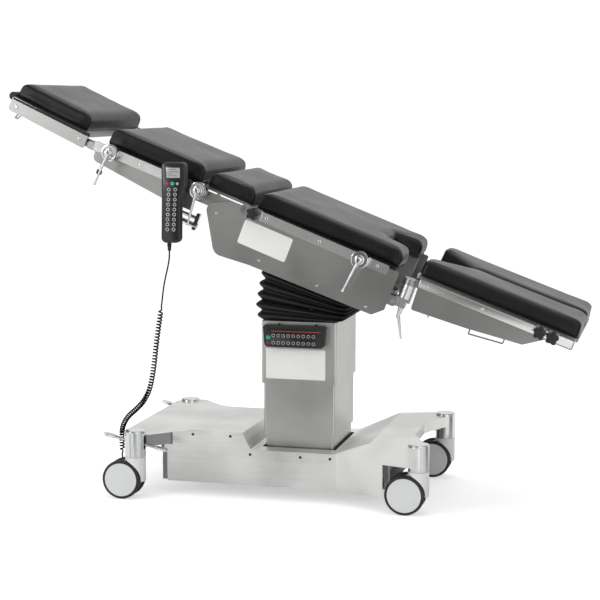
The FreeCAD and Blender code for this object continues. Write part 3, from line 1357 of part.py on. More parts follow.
def leg_frame():
    """Rail, side panel, inner beam and cross bars, hung on the swing pin."""
    s = LEG_SWING_S
    y = LEG_SWING_Y
    top = LEG_FRAME_TOP_N
    edge_y = LEG_PANEL_Y - 2
    hub_low = LEG_POST_TOP_N + FACE_GAP
    hub = rod((s, y, hub_low), (s, y, LEG_HUB_TOP_N), LEG_POST_R)
    pin = rod((s, y, LEG_POST_TOP_N - LEG_PIN_LEN), (s, y, hub_low + WELD), HINGE_PIN_R)
    arm = box(s, LEG_FRAME_S0 + 40, y - LEG_ARM_W, edge_y, LEG_POST_TOP_N + 3, LEG_HUB_TOP_N)
    panel = side_prism([(LEG_FRAME_S0 + 4, 138, 8), (530, 149, 10), (708, 168, 10), (LEG_PANEL_S1, 212, 6),
                        (LEG_PANEL_S1, top, 2), (LEG_FRAME_S0, top, 2)], LEG_PANEL_Y - PANEL_T, LEG_PANEL_Y)
    pieces = [hub, pin, arm, panel, rail(LEG_FRAME_S0, LEG_RAIL_S1, LEG_RAIL_FEET, LEG_RAIL_TOP_N,
                                         LEG_PANEL_Y)]
    pieces.append(box(LEG_BARS_S[0], LEG_FRAME_S1, LEG_BEAM_Y0, LEG_BEAM_Y1, top - 20, top))
    pieces.append(box(LEG_FRAME_S0, LEG_FRAME_S1, PAD_HALF_Y - 3, edge_y, LEG_BAR_LOW_N, top))
    for bar_s in LEG_BARS_S:
        pieces.append(box(bar_s, bar_s + LEG_BAR_W, LEG_BEAM_Y0, edge_y, LEG_BAR_LOW_N, top))
    pieces.append(box(LEG_PANEL_S1 - 30, LEG_FRAME_S1 + 10, LEG_PANEL_Y - 24, RAIL_Y + 2, 214, 226))
    return fuse(pieces + leg_bail() + [leg_board()] + leg_knobs())


def leg_outline(inset, corner):
    inner = LEG_PAD_GAP / 2 + inset
    outer = PAD_HALF_Y - inset
    return [
        (LEG_PAD_S0 + inset, outer, corner), (LEG_PAD_S0 + inset, TAPER_Y, corner),
        (TAPER_S, inner, corner * 2), (LEG_PAD_S1 - inset, inner, corner), (LEG_PAD_S1 - inset, outer,
                                                                            corner),
    ]


def leg_board():
    return plan_prism(leg_outline(-4.0, 8.0), LEG_FRAME_TOP_N, LEG_PAD_LOW_N)


def leg_pad():
    pad = plan_prism(leg_outline(0.0, 18.0), LEG_PAD_LOW_N, PAD_TOP_N)
    top = [e for e in pad.Edges if abs(e.BoundBox.ZMin - PAD_TOP_N) < 1e-6]
    return pad.makeFillet(LEG_PAD_EDGE_R, top)


def leg_knobs():
    """Clamp blocks with star knobs near the foot end of the leg rail."""
    pieces = []
    for i in range(LEG_KNOBS):
        s = LEG_KNOB_S + i * LEG_KNOB_STEP
        pieces.append(clamp_block(s, LEG_RAIL_TOP_N, 16.0, RAIL_W + JAW_T))
        pieces.append(star_knob(s, LEG_RAIL_TOP_N - RAIL_H / 2, RAIL_Y + RAIL_W + 6))
    return pieces


# Rail clamps and their handles, drawn on the far side


def clamp_block(s, top_n, half_s, depth):
    """Jaw that wraps the rail, open on the side facing the table."""
    low = top_n - RAIL_H
    s0 = s - half_s
    s1 = s + half_s
    jaw = box(s0, s1, RAIL_Y - 2, RAIL_Y + depth, low - JAW_T, top_n + JAW_T)
    slot = box(s0 - WELD, s1 + WELD, RAIL_Y, RAIL_Y + RAIL_W, low, top_n)
    mouth = box(s0 - WELD, s1 + WELD, RAIL_Y - 3, RAIL_Y, low + JAW_LIP, top_n - JAW_LIP)
    return jaw.cut(slot).cut(mouth)


def round_clamp(s):
    """Round clamp with a through bore for accessory posts."""
    middle = RAIL_TOP_N - RAIL_H / 2
    end_y = CLAMP_FACE_Y + CLAMP_DEPTH
    drum = pin_y(s, middle, CLAMP_FACE_Y, end_y, CLAMP_R)
    body = fuse([clamp_block(s, RAIL_TOP_N, ROUND_JAW_HALF, RAIL_W + JAW_LIP), drum])
    bore_y = CLAMP_FACE_Y + 2 + CLAMP_BORE_R
    reach = CLAMP_R + 5
    bore = rod((s, bore_y, middle - reach), (s, bore_y, middle + reach), CLAMP_BORE_R)
    screw = pin_y(s, middle, bore_y, end_y + WELD, CLAMP_SCREW_R + RUN_GAP)
    return body.cut(bore).cut(screw)


def knob_clamp(s):
    """Flat clamp block with a threaded seat for a star knob."""
    middle = RAIL_TOP_N - RAIL_H / 2
    face = RAIL_Y + RAIL_W
    half = KNOB_JAW_HALF
    boss = pin_y(s - half - 2, middle + 2, face + 0.2, face + 6, KNOB_BOSS_R)
    block = box(s - half, s + half, face + WELD, KNOB_BLOCK_Y, middle - ROUND_JAW_HALF,
                middle + ROUND_JAW_HALF)
    body = fuse([clamp_block(s, RAIL_TOP_N, half, RAIL_W + JAW_LIP), boss, block])
    return body.cut(pin_y(s, middle, face + JAW_LIP, KNOB_BLOCK_Y + WELD, CLAMP_SCREW_R + RUN_GAP))


def star_knob(s, n, y0):
    """Lobed knob on a short screw."""
    y1 = y0 + STAR_T
    lobes = [pin_y(s, n, y0, y1, STAR_R * 0.62), pin_y(s, n, y0 - 4, y0 + WELD, CLAMP_SCREW_R)]
    reach = STAR_R * 0.68
    for i in range(STAR_LOBES):
        turn = math.radians(90 + 360 / STAR_LOBES * i)
        lobes.append(pin_y(s + reach * math.cos(turn), n + reach * math.sin(turn), y0, y1, STAR_R * 0.34))
    return fuse(lobes)


def t_lever(s, droop):
    """Clamp screw with its cross lever hanging from the hub."""
    middle = RAIL_TOP_N - RAIL_H / 2
    face = CLAMP_FACE_Y + CLAMP_DEPTH
    screw = pin_y(s, middle, face - 1.5, face + 4, CLAMP_SCREW_R)
    hub = pin_y(s, middle, face + FACE_GAP, face + LEVER_HUB_LEN, LEVER_HUB_R)
    turn = math.radians(-90 - droop)
    root = (s, face + 12, middle)
    tip = (s + LEVER_LEN * math.cos(turn), face + 14, middle + LEVER_LEN * math.sin(turn))
    return fuse([screw, hub, rod(root, tip, LEVER_R, LEVER_TIP_R)])


def back_clamps():
    near = [mirrored(round_clamp(HEAD_CLAMP_S)), mirrored(round_clamp(BACK_CLAMP_S))]
    return on_table(Part.makeCompound(near))


def seat_clamps():
    near = [mirrored(knob_clamp(KNOB_CLAMP_S)), mirrored(round_clamp(LEG_CLAMP_S))]
    return on_table(Part.makeCompound(near))


def seat_knob():
    return on_table(mirrored(star_knob(KNOB_CLAMP_S, RAIL_TOP_N - RAIL_H / 2, KNOB_BLOCK_Y + FACE_GAP)))


def near_lever(s, droop):
    return on_table(mirrored(t_lever(s, droop)))


# Handset and its cord


def handset_hook():
    """Bent strip that hangs over the near back rail."""
    s0 = HOOK_S - HOOK_W / 2
    s1 = HOOK_S + HOOK_W / 2
    outer = RAIL_Y + RAIL_W
    low = RAIL_TOP_N + FACE_GAP
    top = low + HOOK_T
    bridge = box(s0, s1, RAIL_Y - HOOK_T, outer + HOOK_REACH, low, top)
    lip = box(s0, s1, RAIL_Y - HOOK_T, RAIL_Y - FACE_GAP, low - HOOK_LIP, top)
    leg = box(s0, s1, outer + HOOK_T - WELD, outer + HOOK_REACH, low - HOOK_LEG, top)
    return on_table(mirrored(fuse([bridge, lip, leg])))


def handset_shell():
    """Tapered housing with a hook over the rail."""
    low = HANDSET_TOP - HANDSET_H
    half_top = HANDSET_TOP_W / 2
    half_low = HANDSET_LOW_W / 2
    profile = [
        (HANDSET_X - half_top, HANDSET_TOP, 14), (HANDSET_X + half_top, HANDSET_TOP, 14),
        (HANDSET_X + half_top, HANDSET_TOP - 78, 20), (HANDSET_X + half_low - 8, HANDSET_TOP - 110, 20),
        (HANDSET_X + half_low - 10, low, 16), (HANDSET_X - half_low - 13, low, 16),
        (HANDSET_X - half_top, HANDSET_TOP - 100, 30),
    ]
    body = side_prism(profile, HANDSET_FRONT_Y, HANDSET_FRONT_Y + HANDSET_D)
    cheeks = [e for e in body.Edges if e.BoundBox.YLength < 1e-6]
    body = body.makeFillet(HANDSET_EDGE_R, cheeks)
    gland = rod((GLAND_X, GLAND_Y, low + 4), (GLAND_X, GLAND_Y, LEAD_ROUTE[0][2]), GLAND_R, GLAND_TIP_R)
    return fuse([body, handset_hook(), gland])


def handset_keys():
    """Two columns of round keys, the three top keys and the display window."""
    face = HANDSET_FRONT_Y
    tip = face - KEY_PROUD
    keys = []
    for column in HANDSET_KEY_COLUMNS:
        for i in range(HANDSET_KEYS):
            z = HANDSET_TOP - HANDSET_KEY_DROP - i * HANDSET_KEY_STEP
            x = HANDSET_X + column - i * HANDSET_KEY_LEAN
            keys.append(rod((x, face, z), (x, tip, z), HANDSET_KEY_R))
    z = HANDSET_TOP - HANDSET_TOP_KEY_DROP
    for x in HANDSET_TOP_KEYS:
        keys.append(rod((HANDSET_X + x, face, z), (HANDSET_X + x, tip, z), HANDSET_KEY_R))
    display_top = HANDSET_TOP - DISPLAY_DROP
    keys.append(box(HANDSET_X - DISPLAY_W / 2, HANDSET_X + DISPLAY_W / 2, face - DISPLAY_PROUD, face,
                    display_top - DISPLAY_H, display_top))
    return Part.makeCompound(keys)


def followed(points):
    """The route with each point moved sideways by its share of the handset's own shift."""
    shift_x = GLAND_X - LEAD_ROUTE[0][0]
    shift_y = GLAND_Y - ROUTE_GLAND_Y
    low = TAIL_ROUTE[-1][2]
    high = LEAD_ROUTE[0][2]
    placed = []
    for x, y, z in points:
        share = max(0.0, (z - low) / (high - low))
        placed.append((x + shift_x * share, y + shift_y * share, z))
    return placed


def route_wire(points):
    """Straight runs joined by arcs as large as the runs allow. Returns the wire and its radii."""
    stops = [V(*p) for p in points]
    edges = []
    radii = []
    last = stops[0]
    for i in range(1, len(stops) - 1):
        back = stops[i - 1] - stops[i]
        on = stops[i + 1] - stops[i]
        reach = 0.45 * min(back.Length, on.Length)
        back_unit = V(back).normalize()
        on_unit = V(on).normalize()
        half = back_unit.getAngle(on_unit) / 2.0
        radius = reach * math.tan(half)
        radii.append(radius)
        inward = (back_unit + on_unit).normalize()
        centre = stops[i] + inward * (radius / math.sin(half))
        arc_start = stops[i] + back_unit * reach
        arc_end = stops[i] + on_unit * reach
        edges.append(Part.LineSegment(last, arc_start).toShape())
        edges.append(Part.Arc(arc_start, centre - inward * radius, arc_end).toShape())
        last = arc_end
    edges.append(Part.LineSegment(last, stops[-1]).toShape())
    return Part.Wire(edges), radii


def cord_tube(listed, radius, name):
    points = followed(listed)
    wire, radii = route_wire(points)
    start = V(*points[0])
    direction = V(*points[1]) - start
    section = Part.Wire([Part.Circle(start, direction, radius).toShape()])
    solid = wire.makePipeShell([section], True, False)
    expected = math.pi * radius * radius * wire.Length
    print(name, "length", round(wire.Length, 1), "volume ratio", round(solid.Volume / expected, 4),
          "least radius", round(min(radii), 1), "radii", [round(r) for r in radii])
    return solid


def cord_plug():
    tip = TAIL_ROUTE[-1]
    body_z = tip[2] + RELIEF_LEN
    body = rod((tip[0], tip[1], body_z), (tip[0], tip[1], TERMINAL_BOTTOM - SOCKET_LEN), PLUG_R)
    relief = rod(tip, (tip[0], tip[1], body_z), LEAD_R + WELD, RELIEF_R)
    return fuse([body, relief])


# Every piece by its name

head_cover, leg_cover = base_covers()
NODES = {
    "base_chassis": base_chassis(),
    "base_cover_head": head_cover,
    "base_cover_leg": leg_cover,
    "caster_housings": caster_housings(),
    "brake_pedals": brake_pedals(),
    "battery_pack": battery_pack(),
    "control_box": control_box(),
    "inlet_sockets": inlet_sockets(),
    "column_lower_shell": column_lower_shell(),
    "column_middle_shell": column_middle_shell(),
    "column_upper_shell": column_upper_shell(),
    "lift_cylinder": lift_cylinder(),
    "lift_ram": lift_ram(),
    "override_panel": override_panel(),
    "tilt_cradle": tilt_cradle(),
    "roll_carriage": roll_carriage(),
    "bellows_lower": bellows_lower(),
    "bellows_upper": bellows_upper(),
    "seat_frame": seat_frame(),
    "seat_covers": seat_covers(),
    "seat_rails": seat_rails(),
    "seat_board": seat_board(),
    "seat_pad": seat_pad(),
    "seat_clamps": seat_clamps(),
    "seat_knob": seat_knob(),
    "seat_lever": near_lever(LEG_CLAMP_S, SEAT_LEVER_DROOP),
    "kidney_lift": kidney_lift(),
    "kidney_pad": kidney_pad(),
    "back_frame": back_frame(),
    "back_struts": back_struts(),
    "back_rails": back_rails(),
    "back_board": back_board(),
    "back_pad": back_pad(),
    "back_clamps": back_clamps(),
    "back_lever_head": near_lever(HEAD_CLAMP_S, HEAD_LEVER_DROOP),
    "back_lever_seat": near_lever(BACK_CLAMP_S, BACK_LEVER_DROOP),
    "head_frame": head_frame(),
    "head_pad": head_pad(),
    "handset_shell": handset_shell(),
    "handset_keys": handset_keys(),
    "handset_cord_lead": cord_tube(LEAD_ROUTE, LEAD_R, "lead"),
    "handset_cord_coil": cord_tube(COIL_ROUTE, COIL_R, "coil"),
    "handset_cord_tail": cord_tube(TAIL_ROUTE, LEAD_R, "tail"),
    "handset_cord_plug": cord_plug(),
}
for name, x, y in CASTERS:
    NODES["caster_fork_" + name] = caster_fork(x, y)
    NODES["caster_wheels_" + name] = caster_wheels(x, y)
for label, side in (("near", -1), ("far", 1)):
    NODES["leg_bracket_" + label] = on_leg(side_placed(leg_bracket(), side))
    NODES["leg_handle_" + label] = on_leg(side_placed(leg_handle(), side))
    NODES["leg_frame_" + label] = on_leg(side_placed(leg_frame(), side))
    NODES["leg_pad_" + label] = on_leg(side_placed(leg_pad(), side))

os.makedirs("parts", exist_ok=True)
for name, shape in NODES.items():
    shape.exportStep("parts/" + name + ".step")
print(len(NODES), "nodes")
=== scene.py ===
# %% [markdown]
# # An operating table
# This lesson dresses the measured frame of an operating table: cushions, bellows, wheels,
# a curly handset cord and the finishes. The frame comes from the imported model, already at
# its real size in metres, so nothing here is moved to fit. We load it.

# %% Load the frame
import math

import bpy
from mathutils import Matrix, Vector


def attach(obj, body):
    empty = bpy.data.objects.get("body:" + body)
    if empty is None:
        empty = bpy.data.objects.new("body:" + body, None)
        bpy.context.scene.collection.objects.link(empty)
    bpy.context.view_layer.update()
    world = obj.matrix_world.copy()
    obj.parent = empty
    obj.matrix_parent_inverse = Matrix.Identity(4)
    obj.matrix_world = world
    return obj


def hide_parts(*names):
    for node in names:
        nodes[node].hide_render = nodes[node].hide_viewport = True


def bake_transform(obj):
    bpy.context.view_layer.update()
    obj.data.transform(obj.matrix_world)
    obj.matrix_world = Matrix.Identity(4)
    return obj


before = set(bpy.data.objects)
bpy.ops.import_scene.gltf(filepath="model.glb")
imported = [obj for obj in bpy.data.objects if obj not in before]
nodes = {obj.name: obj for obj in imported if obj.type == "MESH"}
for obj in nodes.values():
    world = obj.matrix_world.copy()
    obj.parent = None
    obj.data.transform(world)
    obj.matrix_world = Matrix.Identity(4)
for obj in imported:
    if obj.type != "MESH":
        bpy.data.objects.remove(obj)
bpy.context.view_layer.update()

# %% [markdown]
# ## The tabletop's own directions
# The top leans 21.5 degrees towards its leg end, about a pivot 640 mm above the floor. The
# cushions, rails and covers all follow that slope, so it helps to speak of a place as its
# distance along the top, across it and square to it. One function turns that into the
# floor's directions. The head section lies a little steeper and the leg sections a little
# flatter than the seat, each about its own hinge.

# %% Places on the tilted top
TILT = math.radians(21.5)
PIVOT = Vector((0.0, 0.0, 0.640))
ALONG = Vector((math.cos(TILT), 0.0, -math.sin(TILT)))
SQUARE = Vector((math.sin(TILT), 0.0, math.cos(TILT)))


def on_top(s, y, n):
    """Millimetres along, across and square to the top, as a place in metres."""
    return PIVOT + ALONG * (s / 1000) + Vector((0, y / 1000, 0)) + SQUARE * (n / 1000)


def about(place, turn):
    """A turn about a place instead of about the origin."""
    return Matrix.Translation(place) @ turn @ Matrix.Translation(-place)


TOP_TURN = Matrix.Translation(PIVOT) @ Matrix.Rotation(TILT, 4, "Y")
LEG_HINGE = on_top(296, 0, 140)
LEG_TURN = about(LEG_HINGE, Matrix.Rotation(math.radians(-1.0), 4, "Y")) @ TOP_TURN
HEAD_HINGE = on_top(-790, 0, 215)
HEAD_TURN = about(HEAD_HINGE, Matrix.Rotation(math.radians(3.5), 4, "Y")) @ TOP_TURN
print("leg hinge at", [round(v, 3) for v in LEG_HINGE])

# %% [markdown]
# ## Camera
# The photograph was taken from a little above the seat, about five metres away, with a
# short telephoto lens. The camera stands there first, because everything after is judged
# through it.

# %% Camera
bpy.ops.object.select_all(action="DESELECT")
bpy.ops.object.camera_add(
    location=(1.226, -4.874, 1.265),
    rotation=(math.radians(90 - 7.2765), 0.0, math.radians(14.4819)),
)
camera = bpy.context.object
camera.name = "photo_camera"
camera.data.lens = 92.993
camera.data.sensor_width = 36.0
bpy.context.scene.camera = camera
print("camera", [round(v, 3) for v in camera.location])

# %% [markdown]
# ## The handset cord
# A handset hangs on a curly cord: a short straight lead, then a coil of thin cable wound
# nearly 20 mm across, then a short tail into a plug under the base. A real one is one
# cable about 5 mm thick and a few metres long, wound hot round a rod. We lay a smooth
# route first, read points from it, and wind the cable round them: the winding's radius
# grows from nothing at the lead and falls back to nothing at the tail.

# %% The cord's route
CABLE = 0.0050
LEAD_ROUTE = [(-372, -315, 805), (-372, -315, 784), (-378, -314, 754), (-387, -312, 722),
              (-394, -311, 690), (-398, -310, 662), (-401, -310, 637)]
COIL_ROUTE = [(-408, -309, 595), (-416, -307, 548), (-424, -304, 500),
              (-431, -300, 450), (-441, -294, 400), (-456, -284, 352), (-482, -270, 311),
              (-516, -250, 281), (-551, -230, 253), (-576, -208, 220), (-587, -192, 188),
              (-588, -188, 154), (-588, -187, 121)]
TAIL_ROUTE = [(-588, -186, 100), (-572, -180, 81), (-547, -168, 81),
              (-532, -156, 102), (-532, -150, 125)]


def spline_curve(name, points, resolution):
    """A curve of one smooth open spline through the neighbourhood of the points."""
    data = bpy.data.curves.new(name, "CURVE")
    data.dimensions = "3D"
    spline = data.splines.new("NURBS")
    spline.points.add(len(points) - 1)
    for point, place in zip(spline.points, points):
        point.co = (place[0], place[1], place[2], 1.0)
    spline.order_u = 3
    spline.use_endpoint_u = True
    spline.resolution_u = resolution
    piece = bpy.data.objects.new(name, data)
    bpy.context.scene.collection.objects.link(piece)
    return piece


def line_of(piece):
    """The points that a curve with no thickness runs through."""
    mesh = bpy.data.meshes.new_from_object(piece)
    points = [v.co.copy() for v in mesh.vertices]
    bpy.data.meshes.remove(mesh)
    return points


route_mm = LEAD_ROUTE + COIL_ROUTE + TAIL_ROUTE
route = spline_curve("route", [tuple(v / 1000 for v in p) for p in route_mm], 24)
route_line = line_of(route)
bpy.data.objects.remove(route)
print("route points:", len(route_line))

# %% [markdown]
# A winding needs a direction across the cord that never jumps. We carry one along the
# route, laying it flat against each new stretch, and step along the route about a
# sixteenth of a turn at a time. The turns are 10.4 mm apart at the top, where the coil hangs
# stretched by its own weight, and close up to 9.6 mm where it reaches the base. The first
# and last turns are drawn out, so that the cable eases into the winding with no kink.

# %% Wind the cable
WIND_RADIUS = 0.0068
TOP_PITCH = 0.0104
LOW_PITCH = 0.0096
LEAD_LENGTH = 0.178
TAIL_LENGTH = 0.116
EASE_LENGTH = 0.026
EASE_STRETCH = 2.8
PLUG_LENGTH = 0.012
STRAIGHT_STEPS = 16
STEP = 0.00062


def spaced(points, step):
    """Places at equal distances along a line, with the line's direction at each."""
    places = []
    travelled = 0.0
    wanted = 0.0
    for a, b in zip(points, points[1:]):
        run = (b - a).length
        while run > 1e-9 and wanted <= travelled + run:
            share = (wanted - travelled) / run
            places.append((a.lerp(b, share), (b - a).normalized()))
            wanted += step
        travelled += run
    return places, travelled


stations, route_length = spaced(route_line, STEP)
coil_end = route_length - TAIL_LENGTH
cable_points = []
across = Vector((0, 1, 0))
turn = 0.0
for number, (place, heading) in enumerate(stations):
    distance = number * STEP
    across = (across - heading * across.dot(heading)).normalized()
    side = heading.cross(across)
    inside = min(distance - LEAD_LENGTH, coil_end - distance)
    grow = max(0.0, min(1.0, inside / EASE_LENGTH))
    grow = grow * grow * (3 - 2 * grow)
    if grow == 0.0:
        if number % STRAIGHT_STEPS == 0 and distance < route_length - PLUG_LENGTH:
            cable_points.append(place)
        continue
    low = (distance - LEAD_LENGTH) / (coil_end - LEAD_LENGTH)
    pitch = TOP_PITCH + (LOW_PITCH - TOP_PITCH) * low
    pitch *= 1 + EASE_STRETCH * (1 - grow)
    turn += 2 * math.pi * STEP / pitch
    outward = across * math.cos(turn) + side * math.sin(turn)
    cable_points.append(place + outward * WIND_RADIUS * grow)
cable_points[0] = route_line[0]
cable_points.append(route_line[-1])
cord = spline_curve("handset_cord", cable_points, 2)
cord_line = line_of(cord)
cord.data.bevel_depth = CABLE / 2
cord.data.bevel_resolution = 2
cord.data.use_fill_caps = True

# %% [markdown]
# ## Small helpers for modelling
# Every piece starts as a primitive added at its own size and place. A few helpers keep the
# cells short: one selects a piece alone, one puts what was set on the object into its
# mesh, one softens the edges with a bevel, and four build a block, a lathe shape, a plate
# and a joined piece. Places measured on the tilted top are turned there at the end by one
# of the three turns above.

# %% Helpers
def nothing_selected():
    if bpy.context.object and bpy.context.object.mode != "OBJECT":
        bpy.ops.object.mode_set(mode="OBJECT")
    bpy.ops.object.select_all(action="DESELECT")


def only(piece):
    """Select one piece alone and make it the active one."""
    nothing_selected()
    piece.select_set(True)
    bpy.context.view_layer.objects.active = piece


def smooth_below(piece, degrees=40):
    """Shade a piece smooth but for the edges sharper than an angle."""
    only(piece)
    bpy.ops.object.shade_smooth_by_angle(angle=math.radians(degrees))
    return piece


def smooth_all(piece):
    for polygon in piece.data.polygons:
        polygon.use_smooth = True


def settle(piece, place=None):
    """Put the object's place into its mesh, then turn the mesh to where it belongs."""
    only(piece)
    bpy.ops.object.transform_apply(location=True, rotation=True, scale=True)
    if place is not None:
        piece.data.transform(place)
    return piece


def apply_all(piece):
    """Apply a piece's modifiers in their order."""
    only(piece)
    for modifier in list(piece.modifiers):
        bpy.ops.object.modifier_apply(modifier=modifier.name)
    return piece


def soften(piece, width, segments=3, angle=35):
    """Round the sharp edges and smooth what is left."""
    bevel = piece.modifiers.new("edges", "BEVEL")
    bevel.width = width
    bevel.segments = segments
    bevel.limit_method = "ANGLE"
    bevel.angle_limit = math.radians(angle)
    apply_all(piece)
    return smooth_below(piece)


def slab(name, low, high, place=None, edge=0.0008, segments=3):
    """A block between two corners in millimetres, with softened edges."""
    nothing_selected()
    middle = [(a + b) / 2000 for a, b in zip(low, high)]
    bpy.ops.mesh.primitive_cube_add(size=1, location=middle)
    piece = bpy.context.object
    piece.name = name
    piece.scale = [(b - a) / 1000 for a, b in zip(low, high)]
    settle(piece)
    if edge:
        soften(piece, edge, segments)
    if place is not None:
        piece.data.transform(place)
    return piece


def extrude(x, y, z):
    """Extrude what is selected by a shift in metres."""
    bpy.ops.mesh.extrude_region_move(TRANSFORM_OT_translate={"value": (x, y, z)})


AXIS_TURNS = {
    "X": Matrix.Rotation(math.radians(90), 4, "Y"),
    "Y": Matrix.Rotation(math.radians(90), 4, "X"),
    "Z": Matrix.Identity(4),
}


def turned_piece(name, stations, sides=48, axis="Z", centre=(0, 0, 0), place=None,
                 closed=False):
    """A lathe shape: a ring extruded and resized from station to station, in millimetres.
    Each station is a height and a radius. The first and last rings are filled, or joined to
    each other when the section is closed."""
    nothing_selected()
    height, radius = stations[0]
    bpy.ops.mesh.primitive_circle_add(vertices=sides, radius=radius / 1000, location=(0, 0, 0))
    piece = bpy.context.object
    piece.name = name
    bpy.ops.object.mode_set(mode="EDIT")
    bpy.ops.mesh.select_all(action="SELECT")
    bpy.ops.transform.translate(value=(0, 0, height / 1000))
    if not closed:
        bpy.ops.mesh.edge_face_add()
    for z, r in stations[1:]:
        extrude(0, 0, (z - height) / 1000)
        if abs(r - radius) > 1e-6:
            factor = r / radius
            bpy.ops.transform.resize(value=(factor, factor, 1),
                                     center_override=(0, 0, z / 1000))
        height, radius = z, r
    if closed:
        bpy.ops.mesh.select_all(action="DESELECT")
        bpy.ops.mesh.select_non_manifold()
        bpy.ops.mesh.bridge_edge_loops()
    bpy.ops.mesh.select_all(action="SELECT")
    bpy.ops.mesh.remove_doubles(threshold=1e-6)
    bpy.ops.mesh.normals_make_consistent(inside=False)
    bpy.ops.object.mode_set(mode="OBJECT")
    piece.data.transform(Matrix.Translation(Vector(centre) / 1000) @ AXIS_TURNS[axis])
    if place is not None:
        piece.data.transform(place)
    return smooth_below(piece)


def plate(name, corners, front, depth, radius=0.0, place=None, segments=6):
    """A flat plate facing the viewer: a ring of corners in x and z, filled, its corners
    rounded, and extruded back from its front face. Millimetres."""
    nothing_selected()
    bpy.ops.mesh.primitive_circle_add(vertices=len(corners), radius=1.0)
    piece = bpy.context.object
    piece.name = name
    for vertex, (x, z) in zip(piece.data.vertices, corners):
        vertex.co = (x / 1000, front / 1000, z / 1000)
    bpy.ops.object.mode_set(mode="EDIT")
    bpy.ops.mesh.select_all(action="SELECT")
    if radius:
        bpy.ops.mesh.bevel(offset=radius / 1000, segments=segments, affect="VERTICES")
    bpy.ops.mesh.edge_face_add()
    extrude(0, depth / 1000, 0)
    bpy.ops.mesh.select_all(action="SELECT")
    bpy.ops.mesh.normals_make_consistent(inside=False)
    bpy.ops.object.mode_set(mode="OBJECT")
    if place is not None:
        piece.data.transform(place)
    return piece


def finished(piece, material, body):
    """Give a new piece its finish and the body that it moves with."""
    piece.data.materials.clear()
    piece.data.materials.append(material)
    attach(piece, body)
    return piece


def join(name, pieces):
    """Several pieces of one finish as one object."""
    nothing_selected()
    for piece in pieces:
        piece.select_set(True)
    bpy.context.view_layer.objects.active = pieces[0]
    if len(pieces) > 1:
        bpy.ops.object.join()
    pieces[0].name = name
    return pieces[0]


# %% [markdown]
# ## Colour and node helpers
# Colours are written as they look on a screen and turned to linear light by one function.
# A second function adds a node with its settings and links, so that each finish below
# reads as a short list.

# %% Colour and nodes
def colour(text):
    """An sRGB hex colour as linear red, green, blue and alpha."""
    values = [int(text[i:i + 2], 16) / 255 for i in (1, 3, 5)]
    linear = [v / 12.92 if v <= 0.04045 else ((v + 0.055) / 1.055) ** 2.4 for v in values]
    return tuple(linear) + (1.0,)


def shaded(base, share):
    """A hex colour and the same colour darkened to a share of its light."""
    light = colour(base)
    return light, tuple(v * share for v in light[:3]) + (1.0,)


def add(tree, kind, settings=None, **links):
    """A node of one kind. Settings are attributes or inputs, links are input name to socket."""
    node = tree.nodes.new(kind)
    for key, value in (settings or {}).items():
        if isinstance(key, int) or key in node.inputs:
            node.inputs[key].default_value = value
        else:
            setattr(node, key, value)
    for key, socket in links.items():
        tree.links.new(socket, node.inputs[key.replace("_", " ")])
    return node


def new_finish(name, base, roughness, metallic=0.0, **sockets):
    """A material with its shader's plain values set, and the shader and tree to add to."""
    material = bpy.data.materials.new(name)
    material.use_nodes = True
    tree = material.node_tree
    shader = tree.nodes["Principled BSDF"]
    shader.inputs["Base Color"].default_value = colour(base)
    shader.inputs["Roughness"].default_value = roughness
    shader.inputs["Metallic"].default_value = metallic
    for key, value in sockets.items():
        shader.inputs[key.replace("_", " ")].default_value = value
    return material, tree, shader


def ramp(tree, source, stops):
    """A colour ramp with its stops, fed by a socket."""
    node = add(tree, "ShaderNodeValToRGB", Fac=source)
    elements = node.color_ramp.elements
    while len(elements) < len(stops):
        elements.new(0.5)
    for element, (position, value) in zip(elements, stops):
        element.position = position
        element.color = value
    return node


def grey(value):
    return (value, value, value, 1.0)


def noise(tree, vector, scale, detail, **settings):
    """A noise over a vector socket, as its value socket."""
    values = {"Scale": scale, "Detail": detail, **settings}
    return add(tree, "ShaderNodeTexNoise", values, Vector=vector).outputs["Fac"]


def spread_out(tree, value, low, high, to_low, to_high):
    """A value socket stretched from one range to another."""
    limits = {"From Min": low, "From Max": high, "To Min": to_low, "To Max": to_high}
    return add(tree, "ShaderNodeMapRange", limits, Value=value).outputs["Result"]


def bumped(tree, height, strength, depth):
    """The normals of a surface with a height of some depth in metres."""
    limits = {"Strength": strength, "Distance": depth}
    return add(tree, "ShaderNodeBump", limits, Height=height).outputs["Normal"]


def mixed(tree, share, first, second):
    """Two shaders mixed by a value socket."""
    node = tree.nodes.new("ShaderNodeMixShader")
    for index, socket in enumerate((share, first, second)):
        tree.links.new(socket, node.inputs[index])
    return node.outputs["Shader"]
